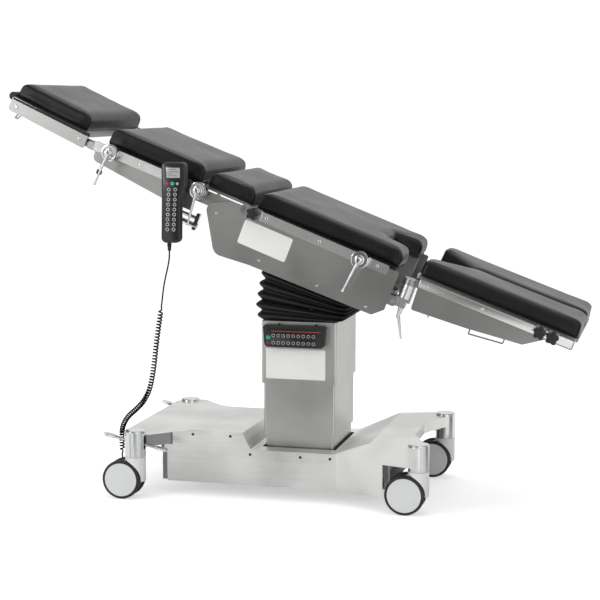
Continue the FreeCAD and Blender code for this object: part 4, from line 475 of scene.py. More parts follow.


# %% [markdown]
# ## Brushed stainless steel
# The covers, rails and column shells are sheet steel rubbed lengthwise with a fine belt.
# The belt leaves hair lines, mostly under 0.2 mm wide, which spread reflections across
# their direction. We stretch a noise along the rubbing direction for the lines, let it
# vary the roughness and a very shallow bump, and darken the colour in broad clouds, which
# are a painted reflection of the uneven light that the steel mirrors.
# Lines that fine don't show from five metres, so they are drawn about 1 mm wide.

# %% Brushed steel
def brushed_steel(name, base, roughness, stretch, spread=0.10, depth=0.14):
    material, tree, shader = new_finish(name, base, roughness, 1.0)
    place = add(tree, "ShaderNodeTexCoord")
    rubbed = add(tree, "ShaderNodeMapping", {"Scale": stretch}, Vector=place.outputs["Object"])
    lines = noise(tree, rubbed.outputs["Vector"], 1.0, 3.0, Roughness=0.6)
    # Broad clouds darken the steel's colour: a painted reflection, not a mark on the metal. The
    # tint below mixes them with the real belt lines.
    reflection_clouds = noise(tree, place.outputs["Object"], 4.0, 3.0)
    both = add(tree, "ShaderNodeMath", {"operation": "MULTIPLY_ADD", 1: 0.3})
    tree.links.new(lines, both.inputs[0])
    tree.links.new(reflection_clouds, both.inputs[2])
    rough = spread_out(tree, both.outputs["Value"], 0.4, 0.9,
                       roughness - spread / 2, roughness + spread / 2)
    light, dark = shaded(base, 1 - depth)
    tint = ramp(tree, both.outputs["Value"], [(0.52, dark), (0.76, light)])
    tree.links.new(rough, shader.inputs["Roughness"])
    tree.links.new(tint.outputs["Color"], shader.inputs["Base Color"])
    tree.links.new(bumped(tree, lines, 0.12, 0.0004), shader.inputs["Normal"])
    return material


# One stainless steel in lit and shaded copies: the base's copy is painted lighter, with its
# clouds deepened, and the covers' copy below is painted darker as shade.
steel_long = brushed_steel("stainless steel brushed lengthwise", "#f6f6f4", 0.34,
                           (6.0, 700.0, 700.0), depth=0.26)
steel_painted_shade = brushed_steel("brushed steel cover with painted shade", "#a8a8a6", 0.36, (6.0, 700.0, 700.0))
steel_upright = brushed_steel("stainless steel brushed upright", "#d2d2cf", 0.36,
                              (700.0, 700.0, 6.0))
steel_dark = brushed_steel("mill finished steel", "#a2a3a3", 0.42, (5.0, 500.0, 500.0))
steel_rail = brushed_steel("stainless steel rail", "#ebebe9", 0.26, (4.0, 900.0, 900.0), 0.08)

# %% [markdown]
# ## Polished chrome
# Clamps, levers and caster housings are turned steel with a chrome plate: a clean mirror
# with faint wipe marks. A little roughness keeps small highlights from sparkling, and a
# large soft noise stands for the wipe marks.

# %% Chrome
def chrome_plate(name, base, roughness):
    material, tree, shader = new_finish(name, base, roughness, 1.0)
    place = add(tree, "ShaderNodeTexCoord")
    wipes = noise(tree, place.outputs["Object"], 30.0, 3.0, Distortion=0.6)
    rough = spread_out(tree, wipes, 0.3, 0.7, roughness * 0.7, roughness * 1.5)
    tree.links.new(rough, shader.inputs["Roughness"])
    return material


chrome = chrome_plate("chrome plated steel", "#e4e5e6", 0.12)
satin_chrome = chrome_plate("satin chromed housing", "#dcddde", 0.17)

# %% [markdown]
# ## Moulded cushion covering
# The cushions have a black polyurethane skin moulded on the foam. It is a soft satin with
# a leather grain of cells 1 to 2 mm across, pressed about a tenth of a millimetre deep.
# Voronoi cells give the grain, a noise breaks up their sheen, and a low sheen lifts the
# edges the way skin oils and wiping do. The cells are drawn at 2.5 mm to show at all.

# %% Cushion skin
skin, tree, shader = new_finish("black moulded polyurethane skin", "#0f0f11", 0.38, 0.0,
                                Sheen_Weight=0.3, Sheen_Roughness=0.3, Specular_IOR_Level=0.3)
place = add(tree, "ShaderNodeTexCoord")
cells = add(tree, "ShaderNodeTexVoronoi", {"Scale": 400.0, "feature": "DISTANCE_TO_EDGE"},
            Vector=place.outputs["Object"])
wear = noise(tree, place.outputs["Object"], 7.0, 4.0)
worn = ramp(tree, wear, [(0.35, colour("#0d0d0f")), (0.7, colour("#161618"))])
sheen = spread_out(tree, wear, 0.3, 0.7, 0.34, 0.46)
grain = bumped(tree, cells.outputs["Distance"], 0.25, 0.0006)
tree.links.new(worn.outputs["Color"], shader.inputs["Base Color"])
tree.links.new(sheen, shader.inputs["Roughness"])
tree.links.new(grain, shader.inputs["Normal"])

# %% [markdown]
# ## Plastics, rubber and paint
# The remaining finishes differ only in colour, gloss and grain, so one function makes them:
# ABS and nylon mouldings have a spark-eroded texture under half a millimetre, rubber a
# dusty bloom, and the powder coat on the hidden frame an orange peel of 1 to 2 mm.

# %% Grained finishes
def grained(name, base, roughness, grain_mm, depth, shade=0.85, **sockets):
    material, tree, shader = new_finish(name, base, roughness, 0.0, **sockets)
    place = add(tree, "ShaderNodeTexCoord")
    fine = noise(tree, place.outputs["Object"], 1000.0 / grain_mm, 2.0)
    broad = noise(tree, place.outputs["Object"], 9.0, 4.0)
    light, dark = shaded(base, shade)
    tint = ramp(tree, broad, [(0.35, dark), (0.65, light)])
    rough = spread_out(tree, broad, 0.3, 0.7, roughness - 0.05, roughness + 0.07)
    tree.links.new(tint.outputs["Color"], shader.inputs["Base Color"])
    tree.links.new(rough, shader.inputs["Roughness"])
    tree.links.new(bumped(tree, fine, 0.3, depth / 1000), shader.inputs["Normal"])
    return material


black_abs = grained("black textured ABS", "#1a1a1c", 0.48, 1.6, 0.15)
board_black = grained("black phenolic board", "#161617", 0.55, 2.0, 0.12)
bellows_rubber = grained("black bellows rubber", "#121213", 0.52, 2.5, 0.2, 0.8)
cord_rubber = grained("black cord sheath", "#060607", 0.58, 1.2, 0.05, Specular_IOR_Level=0.25)
tyre_rubber = grained("dark tyre polyurethane", "#26262a", 0.5, 1.5, 0.1)
disc_grey = grained("pale grey wheel disc nylon", "#e6e7e8", 0.38, 1.4, 0.06, 0.95)
hood_white = grained("white caster hood ABS", "#ececec", 0.32, 1.4, 0.05, 0.96,
                     Coat_Weight=0.25, Coat_Roughness=0.2)
frame_paint = grained("grey powder coat", "#8b8d90", 0.5, 1.8, 0.15, 0.9)
key_white = grained("white key print", "#e9eaea", 0.4, 1.2, 0.03, 0.97)
key_red = grained("red key print", "#c22a22", 0.4, 1.2, 0.03, 0.95)
key_green = grained("green key print", "#2aa98c", 0.4, 1.2, 0.03, 0.95)
plate_white = grained("white enamelled plate", "#f2f2f0", 0.35, 1.5, 0.04, 0.97)
lcd = grained("grey display window", "#b0b5b3", 0.2, 1.5, 0.02, 0.92,
              Coat_Weight=0.6, Coat_Roughness=0.05)
lcd_dark = grained("display segments", "#6d7472", 0.3, 1.5, 0.02, 0.92)
film = grained("black printed film", "#141416", 0.3, 1.4, 0.03, 0.9,
               Coat_Weight=0.4, Coat_Roughness=0.15)
key_grey = grained("grey key print", "#a9acae", 0.4, 1.2, 0.03, 0.95)
key_orange = grained("orange print", "#d8552b", 0.4, 1.2, 0.03, 0.95)
black_oxide = grained("black oxide screw", "#2a2a2b", 0.4, 1.0, 0.03, 0.9)
handset_abs = grained("anthracite handset ABS", "#2a2b2f", 0.5, 1.5, 0.12)
print("finishes:", len(bpy.data.materials))

# %% [markdown]
# ## Finishes on the measured nodes
# Metal parts keep the shape they have in the frame. Each gets its finish here, from one
# table, so that the whole object can be read at a glance.

# %% Dress the nodes
def dress(material, *names):
    for name in names:
        data = nodes[name].data
        if not data.materials:
            data.materials.append(material)
        for index in range(len(data.materials)):
            data.materials[index] = material


CASTERS = {"head_near": (-507, -280), "head_far": (-507, 280),
           "leg_near": (411, -255), "leg_far": (411, 255)}
# The base covers take the steel copy painted lighter; the side covers and section frames take
# the copy painted darker as shade.
dress(steel_long, "base_cover_head", "base_cover_leg")
dress(steel_painted_shade, "seat_covers", "back_frame", "head_frame", "leg_frame_near", "leg_frame_far")
dress(steel_upright, "column_upper_shell", "column_middle_shell", "column_lower_shell")
dress(steel_rail, "seat_rails", "back_rails", "leg_bracket_near", "leg_bracket_far")
dress(chrome, "back_struts", "brake_pedals", "lift_cylinder", "lift_ram")
dress(satin_chrome, "caster_housings", "seat_clamps", "back_clamps", "back_lever_head",
      "back_lever_seat", "seat_lever", "leg_handle_near", "leg_handle_far")
dress(black_abs, "override_panel", "seat_knob", "battery_pack", "inlet_sockets",
      "handset_cord_plug")
dress(handset_abs, "handset_shell")
dress(board_black, "seat_board", "back_board")
dress(steel_dark, "base_chassis", "seat_frame", "kidney_lift", "roll_carriage", "tilt_cradle")
dress(frame_paint, "control_box")
for tag in CASTERS:
    dress(hood_white, "caster_fork_" + tag)
    dress(tyre_rubber, "caster_wheels_" + tag)

# %% [markdown]
# The cord rides on the base, where its plug is. It takes the place of the three plain tubes
# of the frame.

cord.data.materials.append(cord_rubber)
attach(cord, "base")
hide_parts("handset_cord_lead", "handset_cord_coil", "handset_cord_tail")

# %% [markdown]
# ## Cushions
# Each cushion is foam in a moulded skin: flat underneath, where it lies on its board, with
# walls that fill out a little between the corners and a faint crown on top. We copy the
# cushion's plain solid, rebuild its surface as an even net, and blow it up as cloth with
# its underside held. A cap keeps any point from moving more than a few millimetres, as
# foam does.

# %% Cushions
CUSHIONS = {
    "seat_pad": ("seat", TOP_TURN, 0.86), "kidney_pad": ("kidney", TOP_TURN, 0.9),
    "back_pad": ("back", TOP_TURN, 0.88), "head_pad": ("head", HEAD_TURN, 0.88),
    "leg_pad_near": ("leg_near", LEG_TURN, 0.88), "leg_pad_far": ("leg_far", LEG_TURN, 0.88),
}
NET_SIZE = 0.0065
HELD_BAND = 0.004
PRESSURE = 4.0
LAST_FRAME = 15
SWELL = 0.003


def even_net(name, turn):
    """The cushion's solid as an even net of small faces, in its section's directions."""
    source = nodes[name]
    piece = source.copy()
    piece.data = source.data.copy()
    piece.parent = None
    piece.name = name.replace("_pad", "_cushion")
    bpy.context.scene.collection.objects.link(piece)
    piece.hide_render = False
    piece.data.transform(turn.inverted())
    only(piece)
    bpy.ops.object.mode_set(mode="EDIT")
    bpy.ops.mesh.select_all(action="SELECT")
    bpy.ops.mesh.remove_doubles(threshold=1e-5)
    bpy.ops.object.mode_set(mode="OBJECT")
    net = piece.modifiers.new("net", "REMESH")
    net.mode = "VOXEL"
    net.voxel_size = NET_SIZE
    apply_all(piece)
    return piece


def swell(piece):
    """Blow the net up as cloth with its underside held, no point further than the cap."""
    lowest = min(v.co.z for v in piece.data.vertices)
    before = [v.co.copy() for v in piece.data.vertices]
    held = piece.vertex_groups.new(name="held")
    under = [v.index for v in piece.data.vertices if v.co.z < lowest + HELD_BAND]
    held.add(under, 1.0, "REPLACE")
    cloth = piece.modifiers.new("cloth", "CLOTH")
    cloth.settings.use_pressure = True
    cloth.settings.uniform_pressure_force = PRESSURE
    cloth.settings.vertex_group_mass = "held"
    cloth.settings.effector_weights.gravity = 0.0
    for step in range(1, LAST_FRAME + 1):
        bpy.context.scene.frame_set(step)
    apply_all(piece)
    bpy.context.scene.frame_set(1)
    for vertex, start in zip(piece.data.vertices, before):
        moved = vertex.co - start
        if moved.length > SWELL:
            vertex.co = start + moved.normalized() * SWELL


def finish_cushion(piece, turn):
    """Even out the net, turn the cushion to its place and smooth it."""
    ease = piece.modifiers.new("ease", "SMOOTH")
    ease.factor = 0.5
    ease.iterations = 6
    apply_all(piece)
    piece.data.transform(turn)
    smooth_all(piece)
    piece.data.materials.clear()
    piece.data.materials.append(skin)


for name, (body, turn, fill) in CUSHIONS.items():
    cushion = even_net(name, turn)
    swell(cushion)
    finish_cushion(cushion, turn)
    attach(cushion, body)
    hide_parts(name)
    print(cushion.name, "faces:", len(cushion.data.polygons))

# %% [markdown]
# ## Bellows
# A rubber sleeve hides the universal joint. It is dipped over a pleated former, so each
# pleat has a rounded crest and a sharper root, and it fans out on the side that lies
# open. We extrude a rounded rectangle ring by ring, wide at the crests and narrow at the
# roots, and then lean the stack from level at the column to the slope of the top.

# %% Bellows
BELLOWS_LOW = Vector((0, 0, 0.571))
BELLOWS_TOP = PIVOT + SQUARE * 0.052
SHELL_HALF = (123.5, 145.5)
FOLDS = 10
SPLIT_FOLD = 4
RINGS_PER_FOLD = 4
CREST = 15.0


def bellows_sleeve(name, first, last):
    """The stack from one fold to another; odd folds are crests, even ones are roots."""
    nothing_selected()
    bpy.ops.mesh.primitive_plane_add(size=2.0)
    piece = bpy.context.object
    piece.name = name
    bpy.ops.object.mode_set(mode="EDIT")
    bpy.ops.mesh.select_all(action="SELECT")
    bpy.ops.mesh.bevel(offset=0.22, segments=5, affect="VERTICES")
    bpy.ops.mesh.delete(type="ONLY_FACE")
    bpy.ops.mesh.select_all(action="SELECT")
    level = []
    for ring in range(first * RINGS_PER_FOLD, last * RINGS_PER_FOLD + 1):
        part = ring / RINGS_PER_FOLD
        crest = CREST * (0.5 - 0.5 * math.cos(math.pi * part)) ** 0.75
        widen = 14.0 * min(1.0, part / 3.0)
        half_x = (SHELL_HALF[0] + widen + crest) / 1000
        half_y = (SHELL_HALF[1] + widen * 0.3 + crest) / 1000
        level.append((part / FOLDS, half_x, half_y))
    bpy.ops.transform.translate(value=(0, 0, level[0][0]))
    for _ in level[1:]:
        extrude(0, 0, 1.0 / (RINGS_PER_FOLD * FOLDS))
    bpy.ops.object.mode_set(mode="OBJECT")
    sizes = {round(share, 4): (half_x, half_y) for share, half_x, half_y in level}
    for vertex in piece.data.vertices:
        share = round(vertex.co.z, 4)
        nearest = min(sizes, key=lambda value: abs(value - share))
        half_x, half_y = sizes[nearest]
        flat = Vector((vertex.co.x * half_x, vertex.co.y * half_y, 0))
        lean = Matrix.Rotation(TILT * nearest, 3, "Y")
        vertex.co = BELLOWS_LOW.lerp(BELLOWS_TOP, nearest) + lean @ flat
    wall = piece.modifiers.new("wall", "SOLIDIFY")
    wall.thickness = 0.002
    wall.offset = -1.0
    round_off = piece.modifiers.new("round", "SUBSURF")
    round_off.levels = 1
    round_off.render_levels = 1
    only(piece)
    bpy.ops.object.mode_set(mode="EDIT")
    bpy.ops.mesh.select_all(action="SELECT")
    bpy.ops.mesh.normals_make_consistent(inside=False)
    bpy.ops.object.mode_set(mode="OBJECT")
    apply_all(piece)
    smooth_all(piece)
    piece.data.materials.append(bellows_rubber)
    return piece


sleeve_low = bellows_sleeve("bellows_sleeve_low", 0, SPLIT_FOLD)
sleeve_high = bellows_sleeve("bellows_sleeve_high", SPLIT_FOLD, FOLDS)
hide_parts("bellows_lower")
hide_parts("bellows_upper")
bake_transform(sleeve_low)
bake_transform(sleeve_high)

# %% [markdown]
# ## Caster wheels
# A twin caster has two wheels on one axle. Each is a pale nylon disc, slightly dished, in
# a dark tyre with rounded shoulders, and the axle's ends show in their middle. Each
# section is extruded ring by ring, as on a lathe, the same for all eight wheels.

# %% Wheels
WHEEL_RADIUS = 62.5
WHEEL_TRAIL = 40
WHEEL_OFFSET = 24
TYRE_SECTION = [(-10, 54.4), (-10, 58), (-9.2, 60.4), (-7, 62), (-3, 62.5),
                (3, 62.5), (7, 62), (9.2, 60.4), (10, 58), (10, 54.4)]
DISC_SECTION = [(-8, 8), (-8, 54.2), (7.2, 54.2), (9.4, 53.4), (9.8, 51.5),
                (9.2, 48.5), (8.6, 30), (9.4, 12), (9.2, 6.5)]
AXLE_SECTION = [(-30, 5.9), (-29, 6.2), (29, 6.2), (30, 5.9)]


def wheel_pair(tag, x, y):
    """Tyres and discs of one caster."""
    tyres = []
    discs = []
    for side in (-1, 1):
        centre = (x - WHEEL_TRAIL, y + side * WHEEL_OFFSET, WHEEL_RADIUS)
        tyres.append(turned_piece("tyre", TYRE_SECTION, 72, "Y", centre, closed=True))
        disc = turned_piece("disc", DISC_SECTION, 64, "Y", centre)
        if side > 0:
            disc.data.transform(about(Vector(centre) / 1000, Matrix.Rotation(math.pi, 4, "Z")))
        discs.append(disc)
    axle = turned_piece("axle", AXLE_SECTION, 24, "Y", (x - WHEEL_TRAIL, y, WHEEL_RADIUS))
    tyre = join("tyres_" + tag, tyres)
    disc = join("wheel_discs_" + tag, discs + [axle])
    tyre.data.materials.append(tyre_rubber)
    disc.data.materials.append(disc_grey)
    for piece in (tyre, disc):
        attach(piece, "wheels_" + tag)
    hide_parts("caster_wheels_" + tag)


for tag, (x, y) in CASTERS.items():
    wheel_pair(tag, x, y)

# %% [markdown]
# ## Handset face
# The handset is an ABS shell with a printed membrane on its front: a display at the top,
# three function keys, then two columns of round keys. Under the film each key is a small
# dome, printed as a white ring with a pointer in it. The film is a thin plate let into the
# shell. Rings and pointers are raised print, made by the same two functions for each key.

# %% Handset face
LEFT = -352.0
TOP = 1081.0
FACE = -330.0
PRINT_RISE = 0.16
FILM_OUTLINE = [(-34, -5), (34, -5), (34, -74), (17, -107), (15, -243), (-37, -243), (-34, -95)]
DISPLAY_ROWS = (28, 34, 18, 30)
handset_film = plate("handset_film", [(LEFT + x, TOP + z) for x, z in FILM_OUTLINE],
                     FACE - 0.25, 0.6, 6.0)
finished(soften(handset_film, 0.0001, 2), film, "handset")
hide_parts("handset_keys")
bezel = slab("display_bezel", (LEFT - 26, FACE - 0.7, TOP - 52),
             (LEFT + 26, FACE + 0.4, TOP - 13), edge=0.0005)
finished(bezel, film, "handset")
display = slab("display_window", (LEFT - 22, FACE - 0.78, TOP - 48),
               (LEFT + 22, FACE - 0.5, TOP - 17), edge=0.00008)
finished(display, lcd, "handset")
segments = []
for line, reach in enumerate(DISPLAY_ROWS):
    z = TOP - 22.5 - line * 6.4
    segments.append(slab("row", (LEFT - 18, FACE - 0.82, z - 1.1),
                         (LEFT - 18 + reach, FACE - 0.7, z + 1.1), edge=0.0))
finished(join("display_rows", segments), lcd_dark, "handset")


def key_print(name, x, z, front, radius, pointer):
    """A printed ring with a small pointer in it, up, down or none."""
    inner = radius * 0.76
    section = [(0.0, radius), (PRINT_RISE, radius), (PRINT_RISE, inner), (0.0, inner)]
    ring = turned_piece(name, section, 28, "Y", (x, front, z), closed=True)
    if not pointer:
        return [ring]
    reach = radius * 0.42
    mark = turned_piece(name + "_pointer", [(0.0, reach), (PRINT_RISE, reach)], 3, "Y")
    if pointer < 0:
        mark.data.transform(Matrix.Rotation(math.pi, 4, "Y"))
    mark.data.transform(Matrix.Translation(Vector((x, front, z)) / 1000))
    return [ring, mark]


def key_dome(name, x, z, front, radius, rise):
    """The shallow dome of a membrane key."""
    section = [(0.0, radius), (rise * 0.7, radius * 0.86), (rise, radius * 0.5)]
    return turned_piece(name, section, 24, "Y", (x, front, z))


KEYS_IN_LINE = 9
prints = []
domes = []
for column in (-15.0, 6.0):
    for row in range(KEYS_IN_LINE):
        x = LEFT + column - row * 0.8
        z = TOP - 84 - row * 15.5
        prints += key_print("key_print", x, z, FACE - 0.2, 5.3, 1 if row % 2 else -1)
        domes.append(key_dome("key_dome", x, z, FACE - 0.1, 3.9, 0.35))
print("handset rings and pointers:", len(prints))
finished(join("handset_key_prints", prints), key_white, "handset")
finished(join("handset_key_domes", domes), film, "handset")
for name, x, radius, material in (("stop_key", -20.0, 4.8, key_red),
                                  ("start_key", -3.0, 6.6, key_green),
                                  ("lock_key", 13.0, 4.6, key_grey)):
    dome = key_dome(name, LEFT + x, TOP - 66, FACE - 0.2, radius, 0.6)
    finished(dome, material, "handset")

# %% [markdown]
# The cord leaves the shell through a moulded boot. Its ribs let it bend evenly, so the
# cable isn't cut on the edge of the shell. Each rib is a turned ring.

# %% Cord boot
RIB_SECTION = [(-1.3, -0.6), (-0.9, 0.5), (0.9, 0.5), (1.3, -0.6)]
ribs = []
for step in range(5):
    low = 826.0 - step * 4.4
    radius = 6.9 - step * 0.48
    section = [(low + z, radius + r) for z, r in RIB_SECTION]
    ribs.append(turned_piece("rib", section, 32, "Z", (LEFT - 20, -315, 0)))
finished(join("cord_boot_ribs", ribs), cord_rubber, "handset")

# %% [markdown]
# ## Override panel
# The panel on the column repeats the handset's functions in two rows. The same printed
# rings stand on its key field, with one green start key, a red ring for the stop key and
# a thin orange line above them.

# %% Override panel
PANEL_LEFT = -112.0
PANEL_RIGHT = 94.0
PANEL_FACE = -169.5
PANEL_TOP = 561.0
outline = [(PANEL_LEFT + 8, PANEL_TOP - 9), (PANEL_RIGHT - 8, PANEL_TOP - 9),
           (PANEL_RIGHT - 13, PANEL_TOP - 64), (PANEL_LEFT + 13, PANEL_TOP - 64)]
field = plate("panel_film", outline, PANEL_FACE - 0.8, 0.5, 5.0)
finished(soften(field, 0.0001, 2), film, "column_top")
prints = []
domes = []
for row in (0, 1):
    z = PANEL_TOP - 33 - row * 23
    for number in range(KEYS_IN_LINE):
        x = PANEL_LEFT + 35 + number * 16.48
        pointer = (1, -1)[(number + row) % 2]
        prints += key_print("key_print", x, z, PANEL_FACE - 0.7, 5.2, pointer)
        domes.append(key_dome("key_dome", x, z, PANEL_FACE - 0.6, 3.8, 0.35))
finished(join("panel_key_prints", prints), key_white, "column_top")
finished(join("panel_key_domes", domes), film, "column_top")
start = key_dome("panel_start_key", PANEL_LEFT + 18, PANEL_TOP - 41, PANEL_FACE - 0.8, 7.6, 0.7)
finished(start, key_green, "column_top")
stop = key_print("ring", PANEL_LEFT + 16, PANEL_TOP - 57, PANEL_FACE - 0.8, 4.6, 0)
finished(join("panel_stop_key", stop), key_red, "column_top")
line = slab("panel_line", (PANEL_LEFT + 28, PANEL_FACE - 1.0, PANEL_TOP - 19.4),
            (PANEL_RIGHT - 14, PANEL_FACE - 0.6, PANEL_TOP - 18.0), edge=0.0)
finished(line, key_orange, "column_top")

# %% [markdown]
# ## Blank plates
# The seat cover and the column carry enamelled plates. Their places are kept, and they
# are left blank: thin white plates with rounded corners, riveted flat.

# %% Blank plates
column_plate = plate("column_plate", [(-108, 483), (88, 483), (88, 385), (-108, 385)],
                     -146.0, 0.5, 4.0)
finished(soften(column_plate, 0.0001, 2), plate_white, "column_top")
seat_plate = plate("seat_plate", [(-226, 196), (-62, 196), (-62, 118), (-226, 118)],
                   -266.5, 0.6, 6.0, TOP_TURN)
finished(soften(seat_plate, 0.0001, 2), plate_white, "seat")
print("blank plates: 2")

# %% [markdown]
# ## Screws
# Sheet covers are held by button-head screws with a hexagon socket, black on the base's
# skirt and bright on the rails. One screw is a turned button with a round recess standing
# for the socket: the middle face is inset and pushed in. The same function makes one for each
# hole.

# %% Screws
def button_screw(radius, rise, place):
    """A button head facing the viewer at the origin, with a round recess for its socket."""
    nothing_selected()
    bpy.ops.mesh.primitive_circle_add(vertices=30, radius=radius / 1000)
    piece = bpy.context.object
    bpy.ops.object.mode_set(mode="EDIT")
    bpy.ops.mesh.select_all(action="SELECT")
    for share, shrink in ((0.45, 0.94), (0.35, 0.86), (0.2, 0.74)):
        extrude(0, 0, rise * share / 1000)
        bpy.ops.transform.resize(value=(shrink, shrink, 1))
    bpy.ops.mesh.edge_face_add()
    bpy.ops.mesh.inset(thickness=radius * 0.12 / 1000)
    extrude(0, 0, -rise * 0.7 / 1000)
    bpy.ops.object.mode_set(mode="OBJECT")
    piece.data.transform(place @ AXIS_TURNS["Y"])
    return smooth_below(piece, 30)


def screws(name, material, body, radius, rise, places, turn=None):
    """The same screw at several places, given as x, y, z in millimetres."""
    pieces = []
    for spot in places:
        place = Matrix.Translation(Vector(spot) / 1000)
        pieces.append(button_screw(radius, rise, turn @ place if turn else place))
    return finished(join(name, pieces), material, body)


screws("skirt_screws", black_oxide, "base", 4.6, 2.4,
       [(-338, -202, 200), (-212, -202, 200), (-146, -202, 144), (20, -202, 144),
        (117, -202, 144)])
screws("seat_rail_screws", chrome, "seat", 5.0, 1.6,
       [(s, -282, 225) for s in (-160, 20, 215)], TOP_TURN)
screws("back_rail_screws", chrome, "back", 5.0, 1.6,
       [(s, -282, 225) for s in (-735, -600, -440)], TOP_TURN)
screws("leg_rail_screws", chrome, "leg_near", 5.0, 1.6,
       [(s, -282, 226) for s in (380, 560, 720)], LEG_TURN)
screws("seat_cover_screws", chrome, "seat", 4.2, 1.4,
       [(-140, -266, 92), (60, -266, 92), (225, -266, 92), (-320, -266, 176)], TOP_TURN)
print("screw groups: 5")

# %% [markdown]
# ## Clamp fittings
# Each rail clamp is a turned drum. A bright ring sits in front of it, a collar holds the
# screw, and the lever ends in a small ball, so it doesn't catch a glove. The sections are
# the same on each clamp.

# %% Clamp fittings
RAIL_MIDDLE = 225.0
LEVER_LENGTH = 106
RING_SECTION = [(0, 26.4), (2.2, 27.2), (4.6, 26.6), (5.2, 24.6), (4.8, 20.2), (2.6, 19.6),
                (0, 20.2)]
COLLAR_SECTION = [(0, 14.2), (0.8, 15.0), (1.8, 15.0), (2.6, 13.6), (2.8, 10.4), (0.2, 10.4)]
CAP_SECTION = [(0, 9.9), (1.2, 9.2), (2.0, 7.4), (2.3, 4.0)]
for name, s, body in (("head", -703, "back"), ("back", -392, "back"), ("seat", 160, "seat")):
    ring = turned_piece("clamp_ring_" + name, RING_SECTION, 56, "Y",
                        (s, -299, RAIL_MIDDLE), TOP_TURN, closed=True)
    finished(ring, chrome, body)
    collar = turned_piece("clamp_collar_" + name, COLLAR_SECTION, 40, "Y",
                          (s, -303.1, RAIL_MIDDLE), TOP_TURN, closed=True)
    finished(collar, satin_chrome, body)
for name, s, droop in (("back_lever_head", -703, 4.0), ("back_lever_seat", -392, -6.0),
                       ("seat_lever", 160, 6.0)):
    angle = math.radians(-90 - droop)
    tip = ((s + LEVER_LENGTH * math.cos(angle)) / 1000, -0.317,
           (RAIL_MIDDLE + LEVER_LENGTH * math.sin(angle)) / 1000)
    nothing_selected()
    bpy.ops.mesh.primitive_uv_sphere_add(segments=28, ring_count=18, radius=0.0052,
                                         location=tip)
    ball = settle(bpy.context.object, TOP_TURN)
    ball.name = name + "_ball"
    smooth_all(ball)
    finished(ball, chrome, name)
    cap = turned_piece(name + "_cap", CAP_SECTION, 36, "Y", (s, -323, RAIL_MIDDLE), TOP_TURN)
    finished(cap, chrome, name)
print("clamps dressed: 3")

# %% [markdown]
# ## Leg rails and the head section's edge
# The leg sections carry the same 30 by 10 mm rail as the seat, brighter than the panel
# behind it, whose steel is painted darker as shade, so each gets a rail skin a fraction of a
# millimetre proud of the frame.
# The head section's board shows as a black strip above its side plates and rolls over at
# the free end. The strip is a slab with soft edges, the roll a turned bar.

# %% Leg rails and head edge
for tag, side in (("near", -1), ("far", 1)):
    y0, y1 = sorted((side * 271.7, side * 282.4))
    rail_skin = slab("leg_rail_skin_" + tag, (351.7, y0, 210.7), (850.3, y1, 241.3),
                     LEG_TURN, 1.3)
    finished(rail_skin, steel_rail, "leg_" + tag)
    y0, y1 = sorted((side * 241.0, side * 263.0))
    strip = slab("head_board_edge_" + tag, (-1089.6, y0, 234.6), (-804.4, y1, 247.8),
                 HEAD_TURN, 2.0)
    finished(strip, board_black, "head")
    print("rail skin and board edge:", tag)
ROLL_SECTION = [(-240.8, 11.2), (-239.8, 12.9), (-238, 13.5), (238, 13.5), (239.8, 12.9),
                (240.8, 11.2)]
roll = turned_piece("head_board_roll", ROLL_SECTION, 48, "Y", (-1098, 0, 242.7), HEAD_TURN)
finished(roll, board_black, "head")
screws("head_plate_screws", chrome, "head", 6.5, 3.0,
       [(-1064, -262.1, 220), (-828, -262.1, 220)], HEAD_TURN)

# %% [markdown]
# ## Star knobs
# Thumb screws on the rails have five-lobed knobs of black nylon. The outline of a lobed
# knob is a circle whose radius swells and shrinks five times a turn. We fill that outline,
# extrude it, round its rim, and add the hub's low button. The frame has plain ones; these
# stand over them.

# %% Star knobs
OUTLINE_STEP = 4
LOBES = 5


def star_knob(name, front, place):
    """A five-lobed knob facing the viewer, centred on the origin."""
    outline = []
    for degrees in range(0, 360, OUTLINE_STEP):
        angle = math.radians(90 + degrees)
        lobe = math.cos(math.radians(degrees * LOBES / 2))
        reach = 12.0 + 8.2 * math.sqrt(lobe * lobe + 0.03)
        outline.append((reach * math.cos(angle), reach * math.sin(angle)))
    star = soften(plate("star", outline, front, 14.6), 1.6, 3, 50)
    hub_section = [(-0.4, 9.6), (0.8, 9.1), (1.5, 7.6), (1.1, 5.2)]
    hub = turned_piece("hub", hub_section, 32, "Y", (0, front, 0))
    piece = join(name, [star, hub])
    piece.data.transform(place)
    return piece


def at(turn, s, n):
    """A place along and square to the top, in one section's directions."""
    return turn @ Matrix.Translation(Vector((s, 0, n)) / 1000)


TURN_ROUND = Matrix.Rotation(math.pi, 4, "Z")
for number, s in enumerate((744, 784)):
    spot = at(LEG_TURN, s, 226)
    near = star_knob("leg_knob_near_%d" % number, -302.5, spot)
    finished(near, black_abs, "leg_near")
    far = star_knob("leg_knob_far_%d" % number, -302.5, spot @ TURN_ROUND)
    finished(far, black_abs, "leg_far")
knob = star_knob("seat_knob_star", -304.8, at(TOP_TURN, -204, 225))
finished(knob, black_abs, "seat_knob")
knob = star_knob("handset_clamp_knob", -302.5, at(TOP_TURN, -428, 225))
finished(knob, black_abs, "back")
boss = turned_piece("handset_clamp_boss", [(-8.2, 6.4), (6.0, 6.4)], 32, "Y",
                    (-428, -290, 225), TOP_TURN)
finished(boss, chrome, "back")
LOCK_KNOB_SECTION = [(138, 5.6), (139.4, 7.9), (142, 9.0), (150, 9.0), (152.6, 7.6),
                     (153.6, 5.0)]
knob = turned_piece("head_lock_knob", LOCK_KNOB_SECTION, 36, "Z", (-733, -248, 0), TOP_TURN)
finished(knob, black_abs, "back")
stud = turned_piece("head_lock_stud", [(134.4, 2.2), (135.2, 3.1), (172, 3.1)], 24, "Z",
                    (-733, -248, 0), TOP_TURN)
finished(stud, chrome, "back")
